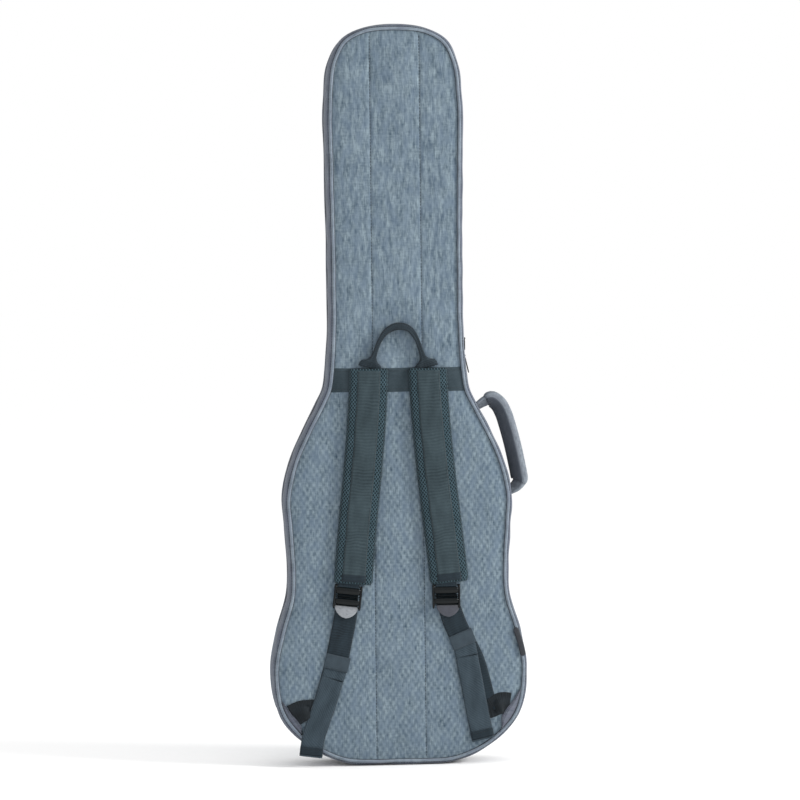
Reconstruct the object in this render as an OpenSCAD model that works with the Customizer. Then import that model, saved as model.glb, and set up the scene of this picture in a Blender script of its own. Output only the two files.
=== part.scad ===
// Padded gig bag for an electric bass. It stands upright on a flat base with its neck end up.
// Origin: middle of the base. +Z runs up the neck, +X to the right as seen from the strap side, and
// the strap side faces -Y. The bag opens like a book: a shallow lid turns about one side of a deep tray.

/* [Shell] */
// Overall height
bag_h = 1240; // [1200:5:1280]
// Width across the lower bout
lower_bout_w = 430; // [420:2:440]
// Width across the waist
waist_w = 370; // [360:2:376]
// Width across the upper bout
upper_bout_w = 383; // [376:1:390]
// Width of the neck
neck_w = 228; // [222:1:232]
// Depth between the faces of the back and front panels
shell_d = 95; // [90:1:105]
// Half width of the flat base
base_half_w = 62; // [50:1:70]

/* [Layers] */
// Thickness of the outer fabric with its backing
skin_t = 1.5; // [1:0.1:2]
// Thickness of the foam padding
foam_t = 12; // [8:1:14]
// Thickness of the plush lining
lining_t = 1; // [0.8:0.1:1.5]
// Diameter of the piping cord in its cover
piping_d = 4; // [3:0.5:5]
// How far the gusset bulges past the piping
bulge = 6; // [4:1:8]

/* [Straps] */
// Width of the shoulder pads
pad_w = 65; // [60:1:70]
// Thickness of the shoulder pads
pad_t = 9; // [7:1:11]
// Width of the webbing
webbing_w = 38; // [36:1:40]
// Thickness of the webbing
webbing_t = 1.5; // [1.2:0.1:1.8]
// Width of the band that the straps are sewn to
band_w = 40; // [38:1:44]
// Height of the band's top edge
band_top_z = 667; // [660:1:672]

/* [Side handle] */
// Width of the padded grip
grip_w = 34; // [30:1:38]
// Thickness of the padded grip
grip_t = 13; // [10:1:15]

/* [Pockets] */
// Depth of the lower pocket
lower_pocket_d = 22; // [18:1:26]
// Depth of the neck pocket
neck_pocket_d = 14; // [12:1:16]

/* [Hidden] */

fabric = [0.48, 0.54, 0.60];
dark_fabric = [0.36, 0.39, 0.45];
webbing = [0.24, 0.28, 0.30];
dark_webbing = [0.15, 0.19, 0.20];
mesh = [0.17, 0.23, 0.24];
plastic = [0.10, 0.12, 0.12];
foam = [0.80, 0.80, 0.76];
plush = [0.30, 0.32, 0.36];
metal = [0.55, 0.56, 0.58];

back_y = -shell_d / 2;
front_y = shell_d / 2;
seam_gap = 0.3;                    // from the parting plane to each zip half
part_y = 28;                       // parting plane of the main zip
zip_w = 7;                         // zip tape on each side of the parting plane
teeth_w = 1.5;                     // half of the tooth chain
panel_inset = bulge + piping_d;
side_t = skin_t + foam_t;          // side wall without its lining
shell_inset = side_t + lining_t;
hinge_z = [95, 235];               // span of the fabric hinge on the left side
steps = 4;                         // spline points between two outline points

lb = lower_bout_w / 2;
wa = waist_w / 2;
ub = upper_bout_w / 2;
nk = neck_w / 2;
side_points = [
    [base_half_w, 0], [0.69 * lb, 28], [0.925 * lb, 78], [lb, 158], [wa + 20, 220], [wa + 1, 290],
    [wa, 335], [ub - 2.5, 400], [ub, 450], [0.94 * ub, 506], [0.82 * ub, 560], [nk + 19, 607],
    [nk + 8, 630], [nk + 3, 660], [nk, 700], [nk - 2, 830], [nk, 1000], [nk, bag_h - 120],
    [nk - 7, bag_h - 62], [nk - 26, bag_h - 25], [nk - 60, bag_h - 6], [0, bag_h]
];

function unit(v) = v / norm(v);
function slope(p, i) =
    i == 0 ? [1, 0] : i == len(p) - 1 ? [-1, 0] :
    let (a = norm(p[i] - p[i - 1]), b = norm(p[i + 1] - p[i]))
    ((p[i] - p[i - 1]) / a * b + (p[i + 1] - p[i]) / b * a) / (a + b);
function hermite(p, q, m, n, t) =
    (2 * t ^ 3 - 3 * t ^ 2 + 1) * p + (t ^ 3 - 2 * t ^ 2 + t) * m
    + (3 * t ^ 2 - 2 * t ^ 3) * q + (t ^ 3 - t ^ 2) * n;
function hermite_slope(p, q, m, n, t) =
    (6 * t ^ 2 - 6 * t) * (p - q) + (3 * t ^ 2 - 4 * t + 1) * m + (3 * t ^ 2 - 2 * t) * n;
// One point of the right side, moved inwards by inset.
function side_at(i, t, inset) =
    let (p = side_points, l = norm(p[i + 1] - p[i]), m = slope(p, i) * l, n = slope(p, i + 1) * l)
    let (d = unit(hermite_slope(p[i], p[i + 1], m, n, t)))
    hermite(p[i], p[i + 1], m, n, t) - inset * [d[1], -d[0]];
function right_side(inset) = [
    for (i = [0:len(side_points) - 2]) for (k = [0:steps - 1]) side_at(i, k / steps, inset)
];
function outline(inset) =
    let (r = right_side(inset), n = len(r))
    concat(r, [[0, bag_h - inset]], [for (i = [n - 1:-1:0]) [-r[i][0], r[i][1]]]);
// A band of constant width along a line of points.
function along(p, i) = unit(p[min(i + 1, len(p) - 1)] - p[max(i - 1, 0)]);
function side_of(p, i, d) = p[i] + d * [along(p, i)[1], -along(p, i)[0]];
function strip(p, w) = concat(
    [for (i = [0:len(p) - 1]) side_of(p, i, w / 2)],
    [for (i = [len(p) - 1:-1:0]) side_of(p, i, -w / 2)]
);

// Plate between two depths, from points in the X-Z plane.
module plate(points, y0, y1) {
    translate([0, y1, 0]) rotate([90, 0, 0]) linear_extrude(height = y1 - y0) polygon(points);
}

module slab(inset, y0, y1) {
    plate(outline(inset), y0, y1);
}

module ring(outer, inner, y0, y1) {
    difference() {
        slab(outer, y0, y1);
        slab(inner, y0 - 1, y1 + 1);
    }
}

module block(low, high) {
    translate(low) cube(high - low);
}

// The stretch of the left side that the fabric hinge takes up.
module hinge_span(grow = 0) {
    block([-lb - 20, -shell_d, hinge_z[0] - grow], [-lb + 60, shell_d, hinge_z[1] + grow]);
}

// ---------- tray ----------
foam_y = back_y + skin_t;
lining_y = foam_y + foam_t;
tray_y = lining_y + lining_t;
tape_y = part_y - zip_w;

module back_panel() {
    color(fabric) slab(panel_inset, back_y, foam_y);
}

module back_foam() {
    color(foam) slab(side_t + 0.2, foam_y, lining_y);
}

module back_lining() {
    color(plush) slab(side_t + 0.2, lining_y, tray_y);
}

module back_piping() {
    color(dark_fabric) ring(bulge, panel_inset, back_y - piping_d / 2, back_y + piping_d / 2);
}

module gusset() {
    color(fabric) {
        difference() {
            ring(0, skin_t, back_y + skin_t, tape_y);
            block([-base_half_w, back_y, -1], [base_half_w, front_y, skin_t]);
        }
        ring(skin_t, bulge, back_y + skin_t, back_y + 2 * skin_t);
    }
}

// Flat panel that the bag stands on, sewn between the two ends of the gusset.
module base_gusset() {
    color(fabric) block([-base_half_w, back_y + skin_t, 0], [base_half_w, tape_y, skin_t]);
}

// Side foam between two heights and two sides. It runs from behind the piping to the zip.
waist_seam_z = 310;
foam_seam_z = 607;
module side_foam(z0, z1, x0 = -lb, x1 = lb) {
    color(foam) intersection() {
        ring(skin_t, side_t, back_y + 2 * skin_t, tape_y);
        block([x0, -shell_d, z0], [x1, shell_d, z1]);
    }
}

module base_gusset_foam() {
    side_foam(0, waist_seam_z);
}

module left_gusset_foam() {
    side_foam(waist_seam_z, foam_seam_z, -lb, 0);
}

module right_gusset_foam() {
    side_foam(waist_seam_z, foam_seam_z, 0, lb);
}

// Height where the foam over the top of the neck begins
top_seam_z = 1100;
module left_neck_foam() {
    side_foam(foam_seam_z, top_seam_z, -lb, 0);
}

module right_neck_foam() {
    side_foam(foam_seam_z, top_seam_z, 0, lb);
}

module top_gusset_foam() {
    side_foam(top_seam_z, bag_h);
}

module gusset_lining() {
    color(plush) ring(side_t, shell_inset, tray_y, tape_y);
}

module rear_zip_tape() {
    color(dark_webbing) difference() {
        ring(0.5, skin_t + 0.5, tape_y, part_y - seam_gap - teeth_w);
        hinge_span();
    }
}

module rear_zip_teeth() {
    color(plastic) difference() {
        ring(0.2, skin_t + 1, part_y - seam_gap - teeth_w, part_y - seam_gap);
        hinge_span();
    }
}

module side_hinge() {
    color(dark_fabric) intersection() {
        ring(0, skin_t, tape_y, part_y - seam_gap);
        hinge_span(-0.5);
    }
}

module yoke_band() {
    color(webbing) intersection() {
        slab(panel_inset, back_y - 1.8, back_y);
        block([-lb, -shell_d, band_top_z - band_w], [lb, shell_d, band_top_z]);
    }
}

// Triangle of fabric in a lower corner. The load webbing comes out from under its long edge.
module corner_patch(points) {
    color(fabric) intersection() {
        slab(panel_inset, back_y - 1.2, back_y);
        plate(points, back_y - 1.2, back_y);
    }
}

module left_corner_patch() {
    corner_patch([[-224, 130], [-171, 71], [-178, 30], [-224, 30]]);
}

module right_corner_patch() {
    corner_patch([[222, 134], [173, 80], [176, 30], [222, 30]]);
}

// Webbing from the corner patch up to the buckle, lying on the back panel. Above the keeper it is
// doubled by the slack that comes back out of the buckle.
load_y = back_y - 1.6;
double_t = 4;
left_double = [[-114, 152], [-92, 258]];
right_double = [[110, 186], [87.5, 258]];
left_load_path = concat([[-181, 89], [-162, 103], [-140, 120], [-123, 136]], left_double);
right_load_path = concat([[182, 99], [160, 113], [138, 133], [120, 160]], right_double);
module load_webbing(path, double) {
    color(dark_webbing) {
        plate(strip(path, webbing_w), load_y - webbing_t, load_y);
        plate(strip(double, webbing_w), load_y - double_t, load_y - webbing_t);
    }
}

module left_load_webbing() {
    load_webbing(left_load_path, left_double);
}

module right_load_webbing() {
    load_webbing(right_load_path, right_double);
}

// Blank rubber tab on the piping of the right side.
label_path = [[190, 227], [203, 181]];
module side_label() {
    color(plastic) plate(strip(label_path, 9), back_y - piping_d / 2 - 1.4, back_y - piping_d / 2 - 0.1);
}

neck_rest_z = [700, 760];
neck_rest_top = -2;
neck_notch = [34, 21];             // half width and depth of the notch for the neck
module neck_rest() {
    color(plush) difference() {
        block([shell_inset + 3 - nk, tray_y, neck_rest_z[0]],
            [nk - shell_inset - 3, neck_rest_top, neck_rest_z[1]]);
        block([-neck_notch[0], neck_rest_top - neck_notch[1], 0], [neck_notch[0], shell_d, bag_h]);
    }
}

module strap_pin_pad() {
    color(plush) block([-45, tray_y, shell_inset + 1], [45, 18, shell_inset + 19]);
}

// ---------- lid ----------
lid_tape_y = part_y + zip_w;
lid_floor_y = front_y - skin_t - foam_t - lining_t;

module front_panel() {
    color(fabric) slab(panel_inset, front_y - skin_t, front_y);
}

// Lid foam between two heights.
module lid_foam(z0, z1) {
    color(foam) intersection() {
        union() {
            slab(skin_t + 0.1, lid_tape_y, front_y - 2 * skin_t);
            slab(panel_inset + 0.2, lid_floor_y + lining_t, front_y - skin_t);
        }
        block([-lb, -shell_d, z0], [lb, shell_d, z1]);
    }
}

module lower_front_foam() {
    lid_foam(0, waist_seam_z);
}

module middle_front_foam() {
    lid_foam(waist_seam_z, foam_seam_z);
}

module upper_front_foam() {
    lid_foam(foam_seam_z, bag_h);
}

module front_lining() {
    color(plush) slab(panel_inset + 0.2, lid_floor_y, lid_floor_y + lining_t);
}

module front_piping() {
    color(dark_fabric) ring(bulge, panel_inset, front_y - piping_d / 2, front_y + piping_d / 2);
}

module front_gusset() {
    color(fabric) {
        ring(0, skin_t, lid_tape_y, front_y - skin_t);
        ring(skin_t, bulge, front_y - 2 * skin_t, front_y - skin_t);
        intersection() {
            ring(0, skin_t, part_y + seam_gap, lid_tape_y);
            hinge_span(-0.5);
        }
    }
}

module front_zip_tape() {
    color(dark_webbing) difference() {
        ring(0.5, skin_t + 0.5, part_y + seam_gap + teeth_w, lid_tape_y);
        hinge_span();
    }
}

module front_zip_teeth() {
    color(plastic) difference() {
        ring(0.2, skin_t + 1, part_y + seam_gap, part_y + seam_gap + teeth_w);
        hinge_span();
    }
}

// A pocket is the part of the bag's outline between two heights, drawn in from its edge.
module pocket_solid(inset, z0, z1, y0, y1) {
    intersection() {
        slab(inset, y0, y1);
        block([-lb, y0 - 1, z0], [lb, y1 + 1, z1]);
    }
}

module pocket_panel(inset, z0, z1, depth) {
    color(fabric) pocket_solid(inset, z0, z1, front_y + depth - skin_t, front_y + depth);
}

module pocket_gusset(inset, z0, z1, depth) {
    color(fabric) difference() {
        pocket_solid(inset, z0, z1, front_y, front_y + depth - skin_t);
        pocket_solid(inset + skin_t, z0 + skin_t, z1 - skin_t, front_y - 1, front_y + depth);
    }
}

module pocket_zip(half, z, depth) {
    color(plastic) block([-half, front_y + depth, z - 6], [half, front_y + depth + 1.6, z + 6]);
}

lower_pocket_inset = 30;
lower_pocket_z = [60, 470];
lower_zip = [140, 440];            // half length and height of the zip
neck_pocket_inset = 26;
neck_pocket_z = [700, 1080];
neck_zip = [66, 1054];

module lower_pocket_panel() {
    pocket_panel(lower_pocket_inset, lower_pocket_z[0], lower_pocket_z[1], lower_pocket_d);
}

module lower_pocket_gusset() {
    pocket_gusset(lower_pocket_inset, lower_pocket_z[0], lower_pocket_z[1], lower_pocket_d);
}

module lower_pocket_zip() {
    pocket_zip(lower_zip[0], lower_zip[1], lower_pocket_d);
}

module neck_pocket_panel() {
    pocket_panel(neck_pocket_inset, neck_pocket_z[0], neck_pocket_z[1], neck_pocket_d);
}

module neck_pocket_gusset() {
    pocket_gusset(neck_pocket_inset, neck_pocket_z[0], neck_pocket_z[1], neck_pocket_d);
}

module neck_pocket_zip() {
    pocket_zip(neck_zip[0], neck_zip[1], neck_pocket_d);
}

// ---------- haul loop and side handle ----------
loop_base_z = band_top_z + 0.6;
loop_y = back_y - 0.8;             // face next to the back panel
loop_points = [[-43, 8], [-37, 26], [-29, 46], [-16, 62], [2, 69], [19, 64], [30, 50], [38, 28], [45, 8]];
module haul_loop() {
    color(webbing) {
        plate(strip([for (p = loop_points) [p[0], p[1] + loop_base_z]], 10), loop_y - 6, loop_y);
        for (x = [-46, 48])
            plate([[x - 20, loop_base_z], [x + 20, loop_base_z], [x + 12, loop_base_z + 12],
                [x - 12, loop_base_z + 12]], loop_y - 6, loop_y);
    }
}

handle_ends = [[140.5, 600], [191.5, 461]];  // where the handle's webbing meets the gusset
handle_y = -8;                     // middle of the handle
handle_dir = unit(handle_ends[1] - handle_ends[0]);
handle_out = [-handle_dir[1], handle_dir[0]];
function handle_point(s, out) = handle_ends[0] + s * handle_dir + out * handle_out;
handle_l = norm(handle_ends[1] - handle_ends[0]);
grip_mid = 32;                     // from the line between the ends to the middle of the grip
module side_handle_grip() {
    color(fabric) plate(
        strip([handle_point(-2, 22), handle_point(14, grip_mid - 2), handle_point(handle_l / 2, grip_mid),
            handle_point(handle_l - 14, grip_mid - 2), handle_point(handle_l - 2, 24)], grip_t),
        handle_y - grip_w / 2, handle_y + grip_w / 2);
}

// The two ends of the handle's webbing, sewn to the gusset. Between them and the grip it is free to bend.
module side_handle_ends() {
    color(dark_webbing) for (p = [
        [handle_point(6, 1), handle_point(-2, 4), handle_point(-5, 9)],
        [handle_point(handle_l - 6, 2), handle_point(handle_l + 1, 5), handle_point(handle_l + 3, 9)]
    ])
        plate(strip(p, 2), handle_y - grip_w / 2 + 2, handle_y + grip_w / 2 - 2);
}

// ---------- shoulder straps ----------
pad_y = back_y - 2.6;              // face next to the back panel, clear of the band
left_pad_path = [[-49, 657], [-52, 600], [-60, 500], [-70, 400], [-79, 306]];
right_pad_path = [[50, 657], [53, 600], [62, 500], [73, 400], [83, 306]];
left_pivot = [-87, 299];           // middle of the buckle's top bar
right_pivot = [77, 298];
left_tilt = -7;
right_tilt = 0;
bar_r = 1.8;
pivot_y = pad_y - pad_t / 2;

module strap_pad(path) {
    color(mesh) plate(strip(path, pad_w), pad_y - pad_t, pad_y);
}

module strap_webbing(path) {
    color(webbing) plate(strip(path, webbing_w), pad_y - pad_t - webbing_t, pad_y - pad_t);
}

// Fold of webbing under the pad's lower end, which holds the buckle's top bar.
module strap_end(pivot, tilt) {
    color(dark_webbing) translate([pivot[0], pivot_y, pivot[1]]) rotate([0, -tilt, 0]) difference() {
        union() {
            rotate([0, 90, 0]) cylinder(h = webbing_w - 4, r = bar_r + 1.2, center = true, $fn = 32);
            block([2 - webbing_w / 2, -1, 0], [webbing_w / 2 - 2, 1, 9]);
        }
        rotate([0, 90, 0]) cylinder(h = webbing_w, r = bar_r + 0.05, center = true, $fn = 32);
    }
}

// Ladder-lock buckle: two side rails, a top bar, two ladder bars and a thumb tab.
rail_x = 21.5;
buckle_l = 35;
module buckle(pivot, tilt) {
    color(plastic) translate([pivot[0], pivot_y, pivot[1]]) rotate([0, -tilt, 0]) {
        for (s = [-1, 1])
            translate([s * rail_x - 2, -3, 2 - buckle_l]) cube([4, 6, buckle_l]);
        for (bar = [[0, bar_r], [-16, 2], [-30, 2.5]])
            translate([0, 0, bar[0]]) rotate([0, 90, 0])
                cylinder(h = 2 * rail_x, r = bar[1], center = true, $fn = 32);
        translate([0, -1, -33]) rotate([90, 0, 0]) difference() {
            cylinder(h = 2, r = 20, $fn = 48);
            translate([-30, 0, -1]) cube([60, 60, 4]);
        }
    }
}

module left_strap_pad() {
    strap_pad(left_pad_path);
}

module right_strap_pad() {
    strap_pad(right_pad_path);
}

module left_strap_webbing() {
    strap_webbing(left_pad_path);
}

module right_strap_webbing() {
    strap_webbing(right_pad_path);
}

module left_strap_end() {
    strap_end(left_pivot, left_tilt);
}

module right_strap_end() {
    strap_end(right_pivot, right_tilt);
}

module left_buckle() {
    buckle(left_pivot, left_tilt);
}

module right_buckle() {
    buckle(right_pivot, right_tilt);
}

// ---------- keepers and tails ----------
keeper_h = 22;
keeper_t = 1;
keeper_room = 0.5;                 // clearance round the webbing
// Elastic sleeve round the doubled webbing.
module keeper(mid, lean) {
    half = webbing_w / 2 + keeper_room;
    color(webbing) translate([mid[0], 0, mid[1]]) rotate([0, lean, 0]) difference() {
        block([-half - keeper_t, load_y - double_t - keeper_room - keeper_t, -keeper_h / 2],
            [half + keeper_t, load_y + keeper_room + keeper_t - 0.4, keeper_h / 2]);
        block([-half, load_y - double_t - keeper_room, -keeper_h],
            [half, load_y + keeper_room, keeper_h]);
    }
}

keeper_up = 24;                    // from the lower end of the doubled webbing to the keeper's middle
function lean_of(double) = atan((double[1][0] - double[0][0]) / (double[1][1] - double[0][1]));
module left_keeper() {
    keeper(left_double[0] + keeper_up * along(left_double, 0), lean_of(left_double));
}

module right_keeper() {
    keeper(right_double[0] + keeper_up * along(right_double, 0), lean_of(right_double));
}

tail_y = load_y - webbing_t - 0.8;
module tail(path) {
    n = len(path) - 1;
    color(webbing) {
        plate(strip(path, webbing_w), tail_y - webbing_t, tail_y);
        plate(strip([path[n - 1], path[n]], webbing_w), tail_y - 3 * webbing_t, tail_y - webbing_t);
    }
}

left_tail_path = [[-115, 148], [-127, 112], [-140, 76], [-150, 43], [-153, 32]];
right_tail_path = [[111, 182], [119, 140], [127, 96], [134, 58], [136, 46]];

module left_tail() {
    tail(left_tail_path);
}

module right_tail() {
    tail(right_tail_path);
}

// ---------- zip sliders and pulls ----------
slider_l = 15;
module slider_block(size, pin_z, pin_out) {
    color(metal) {
        translate([0, -size[1] / 2, -size[2] / 2]) cube(size);
        for (s = [-1, 1])
            translate([size[0] - 1, s * 4 - 1, pin_z - 1.5]) cube([pin_out + 2.2, 2, 3]);
        translate([size[0] + pin_out, 0, pin_z]) rotate([90, 0, 0])
            cylinder(h = 8, r = 0.8, center = true, $fn = 24);
    }
}

// Flat tab with an eye at the top, hanging from the slider's pin at the origin.
module pull_tab(l) {
    color(plastic) difference() {
        union() {
            rotate([90, 0, 0]) cylinder(h = 5.4, r = 1.3, center = true, $fn = 24);
            block([-1, -2.7, -6], [1, 2.7, 0]);
            block([-1, -4.5, -l], [1, 4.5, -6]);
        }
        rotate([90, 0, 0]) cylinder(h = 7, r = 0.9, center = true, $fn = 24);
    }
}

slider_x = nk + 1.4;
main_slider = [4, 10, slider_l];
upper_slider_z = 708;
lower_slider_z = 690;
pin_out = 1.6;
upper_pin = [slider_x + 4 + pin_out, part_y, upper_slider_z + 6];
lower_pin = [slider_x + 4 + pin_out, part_y, lower_slider_z - 6];
upper_pull_l = 20;
lower_pull_l = 30;
lower_pull_lean = 13;

module upper_slider() {
    translate([slider_x, part_y, upper_slider_z]) slider_block(main_slider, 6, pin_out);
}

module upper_pull() {
    translate(upper_pin) pull_tab(upper_pull_l);
}

module lower_slider() {
    translate([slider_x, part_y, lower_slider_z]) slider_block(main_slider, -6, pin_out);
}

module lower_pull() {
    translate(lower_pin) rotate([0, -lower_pull_lean, 0]) pull_tab(lower_pull_l);
}

pocket_slider = [3, 8, 12];
module on_front(x, depth, z) {
    translate([x, front_y + depth + 2, z]) rotate([0, 0, 90]) children();
}

module lower_pocket_slider() {
    on_front(lower_zip[0] - 12, lower_pocket_d, lower_zip[1]) slider_block(pocket_slider, -2, pin_out);
}

module lower_pocket_pull() {
    on_front(lower_zip[0] - 12, lower_pocket_d, lower_zip[1])
        translate([pocket_slider[0] + pin_out, 0, -2]) pull_tab(30);
}

module neck_pocket_slider() {
    on_front(neck_zip[0] - 12, neck_pocket_d, neck_zip[1]) slider_block(pocket_slider, -2, pin_out);
}

module neck_pocket_pull() {
    on_front(neck_zip[0] - 12, neck_pocket_d, neck_zip[1])
        translate([pocket_slider[0] + pin_out, 0, -2]) pull_tab(30);
}

module neck_strap() {
    color(webbing) block([-62, neck_rest_top + 0.5, 711], [62, neck_rest_top + 2.5, 749]);
}

back_panel();
back_foam();
back_lining();
back_piping();
gusset();
base_gusset();
base_gusset_foam();
left_gusset_foam();
right_gusset_foam();
left_neck_foam();
right_neck_foam();
top_gusset_foam();
gusset_lining();
rear_zip_tape();
rear_zip_teeth();
side_hinge();
yoke_band();
left_corner_patch();
right_corner_patch();
left_load_webbing();
right_load_webbing();
side_label();
neck_rest();
strap_pin_pad();
front_panel();
lower_front_foam();
middle_front_foam();
upper_front_foam();
front_lining();
front_piping();
front_gusset();
front_zip_tape();
front_zip_teeth();
lower_pocket_panel();
lower_pocket_gusset();
lower_pocket_zip();
neck_pocket_panel();
neck_pocket_gusset();
neck_pocket_zip();
haul_loop();
side_handle_grip();
side_handle_ends();
left_strap_pad();
left_strap_webbing();
left_strap_end();
right_strap_pad();
right_strap_webbing();
right_strap_end();
left_buckle();
right_buckle();
left_keeper();
right_keeper();
left_tail();
right_tail();
upper_slider();
upper_pull();
lower_slider();
lower_pull();
lower_pocket_slider();
lower_pocket_pull();
neck_pocket_slider();
neck_pocket_pull();
neck_strap();
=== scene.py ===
"""Padded gig bag, seen from the strap side. Metres; +Z up the neck, the strap side faces -Y."""

import math

import bmesh
import bpy
import numpy as np
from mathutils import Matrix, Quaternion, Vector


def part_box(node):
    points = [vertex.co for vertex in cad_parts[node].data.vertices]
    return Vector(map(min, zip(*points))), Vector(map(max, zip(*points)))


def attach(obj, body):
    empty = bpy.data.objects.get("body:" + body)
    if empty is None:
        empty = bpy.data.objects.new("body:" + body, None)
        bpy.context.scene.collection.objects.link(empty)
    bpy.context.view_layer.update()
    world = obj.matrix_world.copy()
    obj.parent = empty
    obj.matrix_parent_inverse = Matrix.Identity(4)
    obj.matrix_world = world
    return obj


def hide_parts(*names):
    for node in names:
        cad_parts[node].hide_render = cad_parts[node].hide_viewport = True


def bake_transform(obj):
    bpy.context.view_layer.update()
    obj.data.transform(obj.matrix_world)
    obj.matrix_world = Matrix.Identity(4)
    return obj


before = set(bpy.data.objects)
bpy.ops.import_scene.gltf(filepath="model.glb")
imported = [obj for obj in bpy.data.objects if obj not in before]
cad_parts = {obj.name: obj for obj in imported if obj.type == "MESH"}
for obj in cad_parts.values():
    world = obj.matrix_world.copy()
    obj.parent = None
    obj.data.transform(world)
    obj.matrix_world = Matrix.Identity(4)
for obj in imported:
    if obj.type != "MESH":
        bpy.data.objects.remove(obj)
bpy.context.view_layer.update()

# ---------------------------------------------------------------- sizes from the frame
MM = 0.001
BACK_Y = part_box("back_panel")[0].y
FRONT_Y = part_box("front_panel")[1].y
BAG_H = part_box("gusset")[1].z
LOWER_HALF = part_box("gusset")[1].x
TAPE_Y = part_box("gusset")[1].y
PART_Y = (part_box("rear_zip_teeth")[1].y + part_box("front_zip_teeth")[0].y) / 2
LID_TAPE_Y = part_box("front_zip_tape")[1].y
TRAY_FLOOR_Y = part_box("back_lining")[1].y
SEAM_INSET = 9.6 * MM
PIPING_INSET = 7.1 * MM
WAIST_HALF = 185 * MM
UPPER_HALF = 191.5 * MM
NECK_HALF = 114 * MM
BASE_HALF = 62 * MM
BAND_LOW, BAND_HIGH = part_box("yoke_band")[0].z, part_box("yoke_band")[1].z
WEBBING_W = 38 * MM
PAD_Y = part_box("left_strap_pad")[1].y
PAD_HALF = 32.5 * MM
PAD_THICK = 8.0 * MM
PAD_CROWN = 2.2 * MM
BACKWARDS = (0, -1, 0)


# ---------------------------------------------------------------- outline
def outline_points():
    """Right side of the bag from the middle of its base to the top, as (x, z)."""
    lb, wa, ub, nk, h = LOWER_HALF, WAIST_HALF, UPPER_HALF, NECK_HALF, BAG_H
    return np.array([
        (BASE_HALF, 0), (0.69 * lb, 0.028), (0.925 * lb, 0.078), (lb, 0.158), (wa + 0.020, 0.220),
        (wa + 0.001, 0.290), (wa, 0.335), (ub - 0.0025, 0.400), (ub, 0.450), (0.94 * ub, 0.506),
        (0.82 * ub, 0.560), (nk + 0.019, 0.607), (nk + 0.008, 0.630), (nk + 0.003, 0.660),
        (nk, 0.700), (nk - 0.002, 0.830), (nk, 1.000), (nk, h - 0.120), (nk - 0.007, h - 0.062),
        (nk - 0.026, h - 0.025), (nk - 0.060, h - 0.006), (0, h),
    ])


def hermite_line(p, first, last, steps):
    """Points along a smooth line through p, whose end directions are first and last."""
    chord = np.linalg.norm(np.diff(p, axis=0), axis=1)
    d = np.diff(p, axis=0) / chord[:, None]
    slopes = [np.array(first, float)]
    for i in range(1, len(p) - 1):
        a, b = chord[i - 1], chord[i]
        slopes.append((d[i - 1] * b + d[i] * a) / (a + b))
    slopes.append(np.array(last, float))
    line = []
    for i, length in enumerate(chord):
        m, n = slopes[i] * length, slopes[i + 1] * length
        for t in np.arange(steps) / steps:
            line.append((2 * t**3 - 3 * t**2 + 1) * p[i] + (t**3 - 2 * t**2 + t) * m
                        + (3 * t**2 - 2 * t**3) * p[i + 1] + (t**3 - t**2) * n)
    return np.array(line + [p[-1]])


def run_of(points):
    """Distance along a line of points, starting at 0."""
    return np.concatenate([[0], np.cumsum(np.linalg.norm(np.diff(points, axis=0), axis=1))])


def ringed(line):
    """The line with its first point repeated at its end."""
    return np.vstack([line, line[:1]])


def unit(v):
    """Vectors along the last axis, scaled to length 1."""
    return v / np.linalg.norm(v, axis=-1, keepdims=True)


def resample(line, step):
    """The same line with evenly spaced points about step apart."""
    s = run_of(line)
    count = max(2, int(round(s[-1] / step)) + 1)
    at = np.linspace(0, s[-1], count)
    return np.stack([np.interp(at, s, line[:, k]) for k in range(line.shape[1])], 1)


def directions(line, closed=False):
    """Unit direction at each point of a line."""
    if closed:
        d = np.roll(line, -1, 0) - np.roll(line, 1, 0)
    else:
        d = np.gradient(line, axis=0)
    return unit(d)


def soft_line(points, step, steps=12):
    """Evenly spaced smooth line through points given in millimetres."""
    p = np.array(points, float)
    return resample(hermite_line(p * MM, unit(p[1] - p[0]), unit(p[-1] - p[-2]), steps), step)


def sideways(d):
    """Width directions of a ribbon that faces back and runs along d, given as (x, z)."""
    return np.stack([-d[:, 1], np.zeros(len(d)), d[:, 0]], 1)


def flat_path(line, away):
    """3-D path and width directions of webbing on the back, away from it by the given depths."""
    path = np.stack([line[:, 0], np.broadcast_to(BACK_Y - away, len(line)), line[:, 1]], 1)
    return path, sideways(directions(line))


def make_outline(step):
    """Closed outline from the middle of the base, its outward directions, its run and its right side."""
    right = resample(hermite_line(outline_points(), (1, 0), (-1, 0), 24), step)
    base = resample(np.array([(-BASE_HALF, 0), (BASE_HALF, 0)]), step)
    left = right[::-1] * (-1, 1)
    loop = np.concatenate([right[:-1], left[:-1], base[:-1]])
    d = directions(loop, closed=True)
    out = np.stack([d[:, 1], -d[:, 0]], 1)
    return loop, out, run_of(ringed(loop)), right


LOOP, LOOP_OUT, LOOP_S, RIGHT = make_outline(5 * MM)


def inset_right(inset):
    """Right side of the outline without its top point, drawn in."""
    return RIGHT[:-1] - LOOP_OUT[:len(RIGHT) - 1] * inset


def waves(x, z, seed, size, count=7):
    """Smooth random undulation of about -1 to 1, whose waves are about size metres long."""
    r = np.random.default_rng(seed)
    total = np.zeros(np.broadcast(x, z).shape)
    for _ in range(count):
        angle, length, phase = r.uniform(0, math.pi), size * r.uniform(0.6, 1.7), r.uniform(0, 2 * math.pi)
        total += np.sin((x * math.cos(angle) + z * math.sin(angle)) * 2 * math.pi / length + phase)
    return total / math.sqrt(count)


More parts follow.
